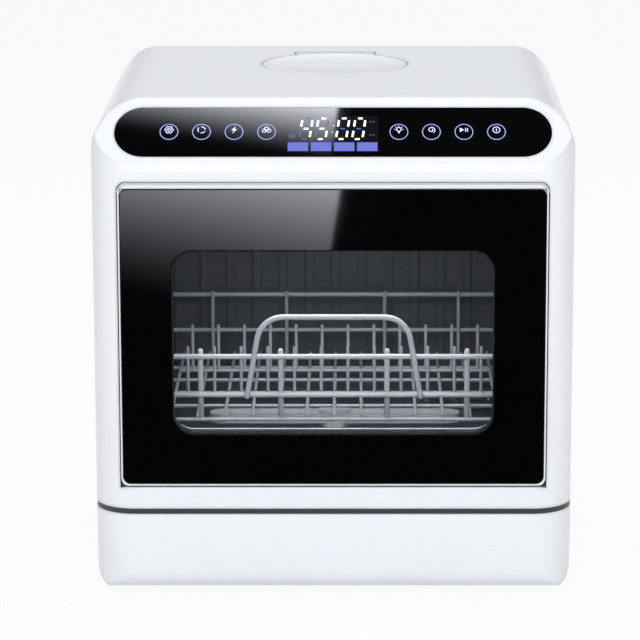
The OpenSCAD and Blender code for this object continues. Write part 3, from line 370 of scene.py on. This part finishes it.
def add_mesh(name, maker, material):
    """An object at the origin from a bmesh, with one material."""
    mesh = bpy.data.meshes.new(name)
    maker.to_mesh(mesh)
    maker.free()
    mesh.materials.append(material)
    piece = bpy.data.objects.new(name, mesh)
    scene.collection.objects.link(piece)
    return piece


def finish_piece(name, maker, body, material, smooth=40.0):
    """A new piece from a bmesh in metres, riding on a body, smooth across edges of fewer degrees."""
    piece = add_mesh(name, maker, material)
    piece.data.shade_smooth()
    piece.data.set_sharp_from_angle(angle=math.radians(smooth))
    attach(piece, body)
    return piece


def new_parts(result, kind):
    """The vertices or edges among what an operator made."""
    return [part for part in result["geom"] if isinstance(part, kind)]


def to_metres(maker):
    """Merge a mesh in millimetres, turn its faces outwards and scale it to metres."""
    bmesh.ops.remove_doubles(maker, verts=maker.verts, dist=MERGE)
    bmesh.ops.recalc_face_normals(maker, faces=maker.faces)
    bmesh.ops.scale(maker, vec=(MM, MM, MM), verts=maker.verts)
    return maker


for node_name, node in nodes.items():
    node.data.materials.clear()
    node.data.materials.append(finishes[slot_of[node_name]])


# ---- Control strip: keys and display, printed on and lit behind the glass ----

# The slope that the strip lies on: its middle and its tilt, and how far the glass face stands off that middle
SLOPE_MIDDLE = Vector((0, -174.5, 418.5)) * MM
SLOPE_TILT = math.radians(90 - 42.165)
GLASS_FACE = 0.3
ON_SLOPE = Matrix.Translation(SLOPE_MIDDLE) @ Matrix.Rotation(SLOPE_TILT, 4, "X")
SAME_PLACE = 1e-6


def arc(radius, start, end, count=24, centre=(0, 0)):
    turn = [math.radians(start + (end - start) * k / count) for k in range(count + 1)]
    return [(centre[0] + radius * math.cos(a), centre[1] + radius * math.sin(a)) for a in turn]


def circle(radius, count=24, centre=(0, 0)):
    return arc(radius, 0, 360, count, centre)


def petals(radius, depth, count, step=6):
    """A closed wavy ring, like the outline of a flower."""
    line = []
    for degrees in range(0, 361, step):
        turn = math.radians(degrees)
        reach = radius + depth * math.cos(count * turn)
        line.append((reach * math.cos(turn), reach * math.sin(turn)))
    return line


def spiral(outer, inner, start, end, count=40):
    line = []
    for k in range(count + 1):
        turn = math.radians(start + (end - start) * k / count)
        reach = outer + (inner - outer) * k / count
        line.append((reach * math.cos(turn), reach * math.sin(turn)))
    return line


def drawn_lines(lines, filled, width, thick):
    """A flat curve filled with the outlines, or a round wire along the lines, as a mesh."""
    curve = bpy.data.curves.new("drawn_lines", "CURVE")
    if filled:
        curve.dimensions = "2D"
        curve.fill_mode = "BOTH"
        curve.extrude = thick / 2
    else:
        curve.dimensions = "3D"
        curve.bevel_depth = width / 2
        curve.bevel_resolution = 2
        curve.use_fill_caps = True
    for points in lines:
        ring = math.dist(points[0], points[-1]) < SAME_PLACE
        path = points[:-1] if ring else points
        spline = curve.splines.new("POLY")
        spline.points.add(len(path) - 1)
        for point, (u, v) in zip(spline.points, path):
            point.co = (u, v, 0, 1)
        spline.use_cyclic_u = filled or ring
    holder = bpy.data.objects.new("drawn_lines", curve)
    mesh = bpy.data.meshes.new_from_object(holder)
    bpy.data.objects.remove(holder)
    bpy.data.curves.remove(curve)
    return mesh


def print_on_glass(name, material, lines=(), width=1.0, outlines=(), lift=0.03, thick=0.05):
    """Flat marks on the control glass: round-ended lines and filled outlines, in millimetres up the slope."""
    maker = bmesh.new()
    for shapes, filled in ((lines, False), (outlines, True)):
        if not shapes:
            continue
        mesh = drawn_lines(shapes, filled, width, thick)
        before = len(maker.verts)
        maker.from_mesh(mesh)
        bpy.data.meshes.remove(mesh)
        if not filled:
            maker.verts.ensure_lookup_table()
            bmesh.ops.scale(maker, vec=(1, 1, thick / width), verts=maker.verts[before:])
    bmesh.ops.remove_doubles(maker, verts=maker.verts, dist=PRINT_MERGE)
    bmesh.ops.recalc_face_normals(maker, faces=maker.faces)
    to_place = ON_SLOPE @ Matrix.Scale(MM, 4) @ Matrix.Translation((0, 0, GLASS_FACE + lift))
    bmesh.ops.transform(maker, matrix=to_place, verts=maker.verts)
    finish_piece(name, maker, "cabinet", material)


def moved(points, by):
    return [(u + by[0], v + by[1]) for u, v in points]


KEY_MIDDLE, KEY_FIRST, KEY_STEP = -0.3, 58.4, 28.7
KEY_X = [KEY_MIDDLE - KEY_FIRST - KEY_STEP * k for k in (3, 2, 1, 0)]
KEY_X += [KEY_MIDDLE + KEY_FIRST + KEY_STEP * k for k in (0, 1, 2, 3)]
RING_R, RING_WIDTH = 7.9, 0.72
MARK_UP, MARK_WIDTH = 2.1, 0.75
# What each key shows, about its own middle: lines, then filled outlines
key_symbols = [
    # Flower
    ([petals(3.3, 0.5, 6), circle(1.3)], []),
    # Three arcs in a circle, with two arrow heads
    ([arc(3.2, 15, 100, 10), arc(3.2, 135, 220, 10), arc(3.2, 255, 340, 10)],
     [[(3.9, 0.6), (2.4, 0.6), (3.2, 2.0)], [(-3.4, 2.6), (-2.1, 1.8), (-3.2, 1.0)]]),
    # Lightning bolt
    ([], [[(1.4, 3.9), (-2.6, -0.5), (-0.3, -0.5), (-1.4, -3.9), (2.6, 0.8), (0.4, 0.8)]]),
    # Three bubbles
    ([circle(1.7, 20, (-2.0, -0.8)), circle(1.7, 20, (2.0, -0.8)), circle(1.9, 20, (0, 1.2))], []),
    # Bulb with its rays
    ([circle(2.0, 20, (0, 0.5)), [(-0.9, -2.2), (0.9, -2.2)], [(-0.7, -3.1), (0.7, -3.1)], [(0, 3.2), (0, 4.1)],
      [(2.3, 2.4), (3.0, 3.0)], [(-2.3, 2.4), (-3.0, 3.0)], [(3.1, 0.5), (4.0, 0.5)], [(-3.1, 0.5), (-4.0, 0.5)]], []),
    # Swirl of air
    ([spiral(3.4, 1.0, -60, 420)], []),
    # Start and pause
    ([[(1.5, 1.9), (1.5, -1.9)], [(3.2, 1.9), (3.2, -1.9)]], [[(-3.6, 2.3), (-3.6, -2.3), (0.2, 0)]]),
    # Power
    ([circle(3.1, 28), [(0, 1.5), (0, -1.5)]], []),
]
rings = [moved(circle(RING_R, 40), (x, 0)) for x in KEY_X]
marks = [moved(line, (x, MARK_UP)) for x, symbol in zip(KEY_X, key_symbols) for line in symbol[0]]
solid_marks = [moved(line, (x, MARK_UP)) for x, symbol in zip(KEY_X, key_symbols) for line in symbol[1]]
print_on_glass("key_rings", lit("key_ring_light", (0.30, 0.33, 0.70), 0.62), rings, RING_WIDTH)
print_on_glass("key_marks", lit("key_mark_light", (0.55, 0.58, 0.95), 0.85), marks, MARK_WIDTH, solid_marks)

# The display: a slightly lighter field, four digits and a colon, and a row of four lit bars
FIELD = (-40.0, 39.8, -20.6, 16.6)
BAR_LEFT, BAR_WIDTH, BAR_LOW, BAR_HIGH = (-39.9, -19.5, 0.9, 21.2), 18.0, -20.0, -11.0
DIGIT_LEAN = 0.135
DIGIT_WIDTH, DIGIT_HEIGHT, DIGIT_MIDDLE = 9.0, 21.6, 3.3
DIGIT_X = (-23.9, -9.8, 8.5, 22.8)
COLON_X, COLON_UP, DOT_RUN = 0.1, (-3.8, 3.0), (0.05, 0.3)
# Both ends of each segment, as shares of a digit's width and height
segment_ends = {
    "a": ((0.27, 1), (0.73, 1)), "b": ((1, 0.90), (1, 0.61)), "c": ((1, 0.39), (1, 0.10)),
    "d": ((0.27, 0), (0.73, 0)), "e": ((0, 0.39), (0, 0.10)), "f": ((0, 0.90), (0, 0.61)),
    "g": ((0.27, 0.5), (0.73, 0.5))}
SHOWN = ("bcfg", "acdfg", "abcdef", "abcdef")


def leaning(x, up):
    """A place on the display, from its height above the middle of the digits."""
    return x + up * DIGIT_LEAN, up + DIGIT_MIDDLE


def segment(digit, name):
    left = DIGIT_X[digit] - DIGIT_WIDTH / 2
    return [leaning(left + across * DIGIT_WIDTH, (up - 0.5) * DIGIT_HEIGHT) for across, up in segment_ends[name]]


def box_outline(low_u, high_u, low_v, high_v):
    return [(low_u, low_v), (high_u, low_v), (high_u, high_v), (low_u, high_v)]


bright = [segment(k, name) for k in range(4) for name in SHOWN[k]]
bright += [[leaning(COLON_X, up), moved([leaning(COLON_X, up)], DOT_RUN)[0]] for up in COLON_UP]
faint = [segment(k, name) for k in range(4) for name in "abcdefg" if name not in SHOWN[k]]
faint += [[(-38.9, -3.4), (-32.9, -3.4)], [(-38.9, -5.4), (-32.9, -5.4)]]
# Small unlit marks beside the digits: grey print that is given a faint painted glow, as no lamp lies behind them
unlit = [[(32.0, 10.4), (33.6, 11.2)], [(34.8, 10.2), (36.6, 10.6)],
         [(32.0, -3.4), (33.2, -2.8)], [(34.4, -3.6), (36.6, -3.0)]]
bars = [box_outline(left, left + BAR_WIDTH, BAR_LOW, BAR_HIGH) for left in BAR_LEFT]
field_black = plastic("display_field", (0.0055, 0.0065, 0.0075), (0.02, 0.02, 0.022), gloss=0.03, change=0.3,
                      grain=300.0, depth=0.0000005, wear=0.1, specular=0.03, gloss_change=0.01, edge=0.0004)
print_on_glass("display_field", field_black, outlines=[box_outline(*FIELD)], lift=0.0, thick=0.04)
print_on_glass("display_bars", lit("bar_light", (0.10, 0.12, 0.44), 0.62), outlines=bars)
print_on_glass("display_faint", lit("faint_light", (0.10, 0.09, 0.36), 0.38), faint, 1.3)
# The unlit marks glow faintly: this glow is painted light, not a lamp
print_on_glass("display_unlit_painted_glow", lit("unlit_marks_painted_glow", (0.10, 0.10, 0.13), 0.12), unlit, 1.0)
print_on_glass("display_digits", lit("digit_light", (0.95, 0.97, 1.0), 1.05), bright, 1.75)

# ---- Rack: the coated front grid and handle, with their domed tips and weld beads ----

RACK_FRONT, RIM_Z, MID_Z, FLOOR_Z = -130.0, 204.0, 168.0, 145.0
RACK_HALF = 172.0
RIM_THICK, MID_THICK, UPRIGHT_THICK, HANDLE_THICK = 5.0, 4.6, 5.0, 5.2
# The uprights stand behind the rails, from above the rim to a bend below the middle rail, and back to the floor
UPRIGHT_X = (-172, -121.5, -48.5, 48.5, 121.5, 172)
UPRIGHT_Y, UPRIGHT_BACK = RACK_FRONT + 3.2, RACK_FRONT + 13.2
UPRIGHT_TOP, UPRIGHT_BEND = RIM_Z + 4.5, MID_Z - 2.0
BEAD_Y, BEAD_RADIUS, BEAD_SHAPE = RACK_FRONT + 1.6, 2.9, (1.25, 1.0, 0.8)
# The rings of a domed tip: how far each stands beyond the last and how wide it is, in wire radii
DOME_RINGS = ((0.5, 0.87), (0.36, 0.58), (0.14, 0.0))


def dome_tip(maker, rim, away, wire_radius):
    """Close an open end of a wire with rings that narrow to a point, whose corners to_metres merges."""
    for rise, width in DOME_RINGS:
        step = bmesh.ops.extrude_edge_only(maker, edges=rim)
        rim = new_parts(step, bmesh.types.BMEdge)
        verts = new_parts(step, bmesh.types.BMVert)
        middle = sum((vert.co for vert in verts), Vector()) / len(verts)
        radius = sum((vert.co - middle).length for vert in verts) / len(verts)
        lift = away * rise * wire_radius
        scale = width * wire_radius / radius
        bmesh.ops.translate(maker, vec=lift, verts=verts)
        bmesh.ops.scale(maker, vec=(scale, scale, scale), verts=verts, space=Matrix.Translation(-middle - lift))


def bent_wire(maker, points, thick):
    """A round wire through points in millimetres, with closed domed tips."""
    ring = bmesh.ops.create_circle(maker, cap_ends=False, segments=16, radius=thick / 2)["verts"]
    path = [Vector(point) for point in points]
    heading = (path[1] - path[0]).normalized()
    turn = Vector((0, 0, 1)).rotation_difference(heading).to_matrix().to_4x4()
    bmesh.ops.transform(maker, matrix=Matrix.Translation(path[0]) @ turn, verts=ring)
    first = [edge for edge in maker.edges if edge.verts[0] in ring and edge.verts[1] in ring]
    last = first
    for k in range(1, len(path)):
        step = bmesh.ops.extrude_edge_only(maker, edges=last)
        last = new_parts(step, bmesh.types.BMEdge)
        here = (path[k] - path[k - 1]).normalized()
        after = (path[k + 1] - path[k]).normalized() if k + 1 < len(path) else here
        aim = (here + after).normalized()
        spin = heading.rotation_difference(aim).to_matrix().to_4x4()
        bmesh.ops.transform(maker, matrix=Matrix.Translation(path[k]) @ spin @ Matrix.Translation(-path[k - 1]),
                            verts=new_parts(step, bmesh.types.BMVert))
        heading = aim
    dome_tip(maker, first, (path[0] - path[1]).normalized(), thick / 2)
    dome_tip(maker, last, (path[-1] - path[-2]).normalized(), thick / 2)


grid = bmesh.new()
for height, rail_thick in ((RIM_Z, RIM_THICK), (MID_Z, MID_THICK)):
    bent_wire(grid, [(-RACK_HALF, RACK_FRONT, height), (RACK_HALF, RACK_FRONT, height)], rail_thick)
for x in UPRIGHT_X:
    bent_wire(grid, [(x, UPRIGHT_Y, UPRIGHT_TOP), (x, UPRIGHT_Y, UPRIGHT_BEND), (x, UPRIGHT_BACK, FLOOR_Z)],
              UPRIGHT_THICK)
for x in UPRIGHT_X:
    for height in (RIM_Z, MID_Z):
        bead = bmesh.ops.create_icosphere(grid, subdivisions=2, radius=BEAD_RADIUS)["verts"]
        bmesh.ops.scale(grid, vec=BEAD_SHAPE, verts=bead)
        bmesh.ops.translate(grid, vec=(x, BEAD_Y, height), verts=bead)
# The front grid and the handle wear the lighter copy of the wire colour, which is painted light
front_grid = finish_piece("rack_front_grid", to_metres(grid), "rack", finishes["rack_wire_bright"])
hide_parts("rack_front")

# The lifting handle: two leaning legs and a level top, bent from one wire
HANDLE_Y = RACK_FRONT - 4.9
HANDLE_TOP, HANDLE_HALF, HANDLE_BEND, HANDLE_FOOT = 242.0, 66.0, 24.0, 79.0
BEND_STEPS = 8


def handle_path():
    """Right foot, right bend, left bend, left foot."""
    lean = math.atan2(HANDLE_FOOT - HANDLE_HALF, HANDLE_TOP - MID_Z)
    turn = math.pi / 2 - lean
    bend_x = HANDLE_HALF - HANDLE_BEND * math.tan(turn / 2)
    right = [(HANDLE_FOOT, HANDLE_Y, MID_Z)]
    for k in range(BEND_STEPS + 1):
        angle = turn * (1 - k / BEND_STEPS)
        right.append((bend_x + HANDLE_BEND * math.sin(angle), HANDLE_Y,
                      HANDLE_TOP - HANDLE_BEND * (1 - math.cos(angle))))
    return right + [(-x, y, z) for x, y, z in reversed(right)]


handle = bmesh.new()
bent_wire(handle, handle_path(), HANDLE_THICK)
handle_wire = finish_piece("rack_handle_wire", to_metres(handle), "rack", finishes["rack_wire_bright"])
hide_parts("rack_handle")

# ---- Door: the outer pane, the lip that closes its gap, and the trim round the window ----

# Round-cornered outlines: half width, bottom, top and corner radius
PANE = (188.3, 103.3, 372.0, 7.0)
WINDOW = (143.0, 149.5, 316.5, 19.0)
LIP_OUTSIDE = (190.6, 112.0, 377.1, 8.8)
LIP_INSIDE = (189.85, 112.9, 376.05, 8.0)
LIP_OPEN_BELOW = 122.0
CORNER_STEPS = 8
# Where each one's front and back lie, as y
PANE_FRONT, PANE_BACK = -200.0, -196.06
LIP_FRONT, LIP_BACK = -196.6, -193.0
PRINT_FRONT, PRINT_BACK = -195.9, -195.75
SPACER_FRONT, SPACER_BACK = -195.5, -176.5
GROUND_EDGE = 0.8
ON_FACE = 0.01
WINDOW_PLAY, WINDOW_SUNK = 0.05, 0.02
# How far the outer and inner outline of each trim lie outside the window
PRINT_REACH, SPACER_REACH = (0.1, -1.3), (2.3, 1.4)


def rounded_plate(maker, half, low, high, corner, y):
    """A flat face standing in the plane y, its four corners rounded."""
    corners = [maker.verts.new(place) for place in
               ((half, y, high), (-half, y, high), (-half, y, low), (half, y, low))]
    maker.faces.new(corners)
    bmesh.ops.bevel(maker, geom=corners, offset=corner, segments=CORNER_STEPS, profile=0.5,
                    affect="VERTICES", material=-1)


def pulled_back(maker, faces, depth):
    """Give flat faces their depth along y."""
    pulled = bmesh.ops.extrude_face_region(maker, geom=faces)
    bmesh.ops.translate(maker, vec=(0, depth, 0), verts=new_parts(pulled, bmesh.types.BMVert))
    bmesh.ops.recalc_face_normals(maker, faces=maker.faces)


def standing_frame(outer, inner, front, back):
    """A thin frame between two round-cornered outlines, from y = front to y = back, in millimetres."""
    maker = bmesh.new()
    for outline in (outer, inner):
        rounded_plate(maker, *outline, front)
    edges = list(maker.edges)
    bmesh.ops.delete(maker, geom=list(maker.faces), context="FACES_ONLY")
    faces = bmesh.ops.bridge_loops(maker, edges=edges)["faces"]
    pulled_back(maker, faces, back - front)
    return maker


def window_outline(grow):
    half, low, high, corner = WINDOW
    return half + grow, low - grow, high + grow, corner + max(grow, 0) * 0.5


# The outer pane: its printed border with ground edges, and the clear window in it
border = standing_frame(PANE, window_outline(0.0), PANE_FRONT, PANE_BACK)
front_edges = [edge for edge in border.edges if all(abs(vert.co.y - PANE_FRONT) < ON_FACE for vert in edge.verts)
               and len({round(face.normal.y, 1) for face in edge.link_faces}) > 1]
bmesh.ops.bevel(border, geom=front_edges, offset=GROUND_EDGE, segments=1, profile=0.5, affect="EDGES", material=-1)
door_border = finish_piece("door_glass_border", to_metres(border), "door", finishes["door_black"],
                           smooth=20.0)
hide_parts("door_glass")
clear = bmesh.new()
rounded_plate(clear, *window_outline(-WINDOW_PLAY), PANE_FRONT + WINDOW_SUNK)
pulled_back(clear, list(clear.faces), PANE_BACK - PANE_FRONT - 2 * WINDOW_SUNK)
finish_piece("door_glass_window", to_metres(clear), "door", finishes["door_glass"], smooth=20.0)

spacer = standing_frame(*map(window_outline, SPACER_REACH), SPACER_FRONT, SPACER_BACK)
finish_piece("window_spacer", to_metres(spacer), "door", finishes["dark_plastic"])
print_edge = standing_frame(*map(window_outline, PRINT_REACH), PRINT_FRONT, PRINT_BACK)
finish_piece("window_print_edge", to_metres(print_edge), "door", finishes["window_print"])

# The lip runs up both sides and over the top of the door
lip = standing_frame(LIP_OUTSIDE, LIP_INSIDE, LIP_FRONT, LIP_BACK)
bmesh.ops.delete(lip, geom=[vert for vert in lip.verts if vert.co.z < LIP_OPEN_BELOW], context="VERTS")
bmesh.ops.holes_fill(lip, edges=[edge for edge in lip.edges if edge.is_boundary], sides=4)
finish_piece("door_gap_lip", to_metres(lip), "door", finishes["white_inner"])

# ---- Fill lid: a shallow dish with a soft rim ----

LID_Y, LID_R, TOP_Z, LID_THICK = 60.0, 69.0, 445.0, 2.3
LID_UNDER = TOP_Z - LID_THICK
SKIRT_OUTSIDE, SKIRT_INSIDE, SKIRT_LOW = 64.5, 62.5, 438.0
# From the middle of the dish over the rim, down and round the skirt, and back: radius and height
LID_PROFILE = ((0.0, 443.55), (30.0, 443.6), (52.0, 443.75), (58.0, 444.1), (62.5, 444.7), (65.5, 444.95),
               (68.3, 444.95), (68.85, 444.75), (LID_R, 444.4), (LID_R, LID_UNDER), (SKIRT_OUTSIDE, LID_UNDER),
               (SKIRT_OUTSIDE, SKIRT_LOW), (SKIRT_INSIDE, SKIRT_LOW), (SKIRT_INSIDE, LID_UNDER),
               (0.0, LID_UNDER - 0.01))
# The tab behind the rim and the knuckle under it, which holds the hinge pin: size and middle
TAB = ((76.0, 9.5, LID_THICK - 0.3), (0, LID_Y + LID_R - 0.8, TOP_Z - 0.1 - LID_THICK / 2))
KNUCKLE = ((72.0, 8.0, 7.6), (0, 126.5, 437.9))
BLOCK_EDGE = 0.5

dish = bmesh.new()
line = [dish.verts.new((radius, 0, height)) for radius, height in LID_PROFILE]
spokes = [dish.edges.new(pair) for pair in zip(line, line[1:])]
bmesh.ops.spin(dish, geom=line + spokes, cent=(0, 0, 0), axis=(0, 0, 1), angle=2 * math.pi, steps=96, use_merge=True)
bmesh.ops.translate(dish, vec=(0, LID_Y, 0), verts=dish.verts)
bmesh.ops.remove_doubles(dish, verts=dish.verts, dist=MERGE)
blocks = set()
for size, middle in (TAB, KNUCKLE):
    block = bmesh.ops.create_cube(dish, size=1)["verts"]
    bmesh.ops.scale(dish, vec=size, verts=block)
    bmesh.ops.translate(dish, vec=middle, verts=block)
    blocks.update(block)
bmesh.ops.bevel(dish, geom=[edge for edge in dish.edges if edge.verts[0] in blocks], offset=BLOCK_EDGE,
                segments=3, profile=0.5, affect="EDGES", material=-1)
lid_piece = finish_piece("fill_lid_dish", to_metres(dish), "fill_lid", finishes["white_casing"])
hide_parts("fill_lid")

# ---- Stage ----

def stage_sheet(name, corners, material):
    """A flat sheet between four corners, in metres."""
    maker = bmesh.new()
    maker.faces.new([maker.verts.new(corner) for corner in corners])
    sheet_piece = add_mesh(name, maker, material)
    return sheet_piece


def level_corners(low, high, z):
    return [(low[0], low[1], z), (high[0], low[1], z), (high[0], high[1], z), (low[0], high[1], z)]


def only_reflected(piece):
    piece.visible_camera = piece.visible_diffuse = piece.visible_transmission = piece.visible_shadow = False


def floor_material():
    """Pale floor, near white to the eye and in glass, that keeps a faint shadow."""
    material, sheet, shader = new_material("studio_floor")
    shader.inputs["Roughness"].default_value = 0.9
    shader.inputs["Specular IOR Level"].default_value = 0.1
    tone = sheet.blend(sheet.noise(sheet.object_place(), scale=3.0), rgba((0.86, 0.86, 0.87)),
                       rgba((0.88, 0.88, 0.885)))
    sheet.join(tone, shader.inputs["Base Color"])
    white = sheet.add("ShaderNodeEmission")
    white.inputs["Strength"].default_value = 1.0
    paths = sheet.add("ShaderNodeLightPath").outputs
    seen = sheet.math("MAXIMUM", paths["Is Camera Ray"], paths["Is Transmission Ray"])
    seen = sheet.math("MAXIMUM", seen, paths["Is Glossy Ray"])
    sheet.surface(sheet.math("MULTIPLY", seen, 0.90), shader.outputs[0], white.outputs[0])
    return material


stage_sheet("floor", level_corners((-30, -30), (30, 30), 0), floor_material())


def reflected_card(name, corners, bright_at, dim_at, strength, receivers):
    """A softbox seen only as a reflection in the named glass, brightest at one side."""
    material, sheet, _ = new_material(name)
    along = Vector(dim_at) - Vector(bright_at)
    offset = sheet.vector("SUBTRACT", sheet.object_place(), bright_at)
    run = sheet.vector("DOT_PRODUCT", offset, along / along.length_squared)
    fade = sheet.math("POWER", sheet.ramp(run, low=1.0, high=0.0), 2.0)
    glow = sheet.add("ShaderNodeEmission")
    sheet.join(sheet.math("MULTIPLY", fade, strength), glow.inputs["Strength"])
    glow.inputs["Color"].default_value = (0.90, 0.92, 1.0, 1)
    sheet.join(glow.outputs[0], material.node_tree.nodes["Material Output"].inputs["Surface"])
    card = stage_sheet(name, corners, material)
    only_reflected(card)
    lit_only = bpy.data.collections.new(name + "_receivers")
    for receiver in receivers:
        lit_only.objects.link(bpy.data.objects[receiver])
    card.light_linking.receiver_collection = lit_only


# Each card's slanting edge is the edge of light that crosses the glass
DOOR_CARD = [(0.001, -2.35, 0.004), (-0.044, -0.50, 0.004), (-0.7, -0.50, 0.004), (-0.7, -2.35, 0.004)]
PANEL_CARD = [(0.002, -0.60, 2.4), (-0.030, -0.85, 2.4), (-0.6, -0.85, 2.4), (-0.6, -0.60, 2.4)]
reflected_card("door_softbox", DOOR_CARD, bright_at=(0.0, -2.17, 0), dim_at=(-0.50, -1.62, 0), strength=44.0,
               receivers=["door_glass_border"])
reflected_card("panel_softbox", PANEL_CARD, bright_at=(-0.005, -0.679, 2.4), dim_at=(-0.0183, -0.7624, 2.4),
               strength=290.0, receivers=["panel_glass", "display_field"])

# A dull black sheet on the floor, seen only as a reflection, keeps the glass dark beside the softbox
flag_black, _, flag_shader = new_material("door_flag")
flag_shader.inputs["Base Color"].default_value = (0.004, 0.004, 0.004, 1)
flag_shader.inputs["Roughness"].default_value = 1.0
flag_shader.inputs["Specular IOR Level"].default_value = 0.0
only_reflected(stage_sheet("door_flag", level_corners((-0.8, -2.6), (0.8, -0.45), 0.003), flag_black))


def backdrop():
    """White to the eye and through glass, and a soft cool light on everything else."""
    world = bpy.data.worlds.new("studio")
    world.use_nodes = True
    scene.world = world
    sheet = Sheet(world.node_tree)
    ambient = world.node_tree.nodes["Background"]
    ambient.inputs["Color"].default_value = (0.93, 0.95, 1.0, 1)
    ambient.inputs["Strength"].default_value = 0.45
    white = sheet.add("ShaderNodeBackground")
    white.inputs["Color"].default_value = (1, 1, 1, 1)
    white.inputs["Strength"].default_value = 1.0
    paths = sheet.add("ShaderNodeLightPath").outputs
    seen = sheet.math("MAXIMUM", paths["Is Camera Ray"], paths["Is Transmission Ray"])
    sheet.surface(seen, ambient.outputs[0], white.outputs[0], "World Output")


backdrop()


def softbox(name, place, aim, width, height, power, colour=(1, 1, 1)):
    data = bpy.data.lights.new(name, "AREA")
    data.shape = "RECTANGLE"
    data.size, data.size_y = width, height
    data.energy = power
    data.color = colour
    lamp = bpy.data.objects.new(name, data)
    lamp.location = place
    lamp.rotation_euler = (Vector(aim) - Vector(place)).to_track_quat("-Z", "Y").to_euler()
    scene.collection.objects.link(lamp)
    return lamp


softbox("key_front", place=(0, -2.6, 1.5), aim=(0, 0, 0.25), width=1.6, height=1.4, power=39)
top_soft = softbox("top_soft", place=(0, 0.75, 2.4), aim=(0, 0, 0.2), width=2.2, height=1.8, power=34)
top_soft.visible_glossy = False
softbox("tub_glow", place=(0, -0.10, 0.352), aim=(0, -0.12, 0.15), width=0.28, height=0.06, power=0.7,
        colour=(0.97, 0.98, 1.0))
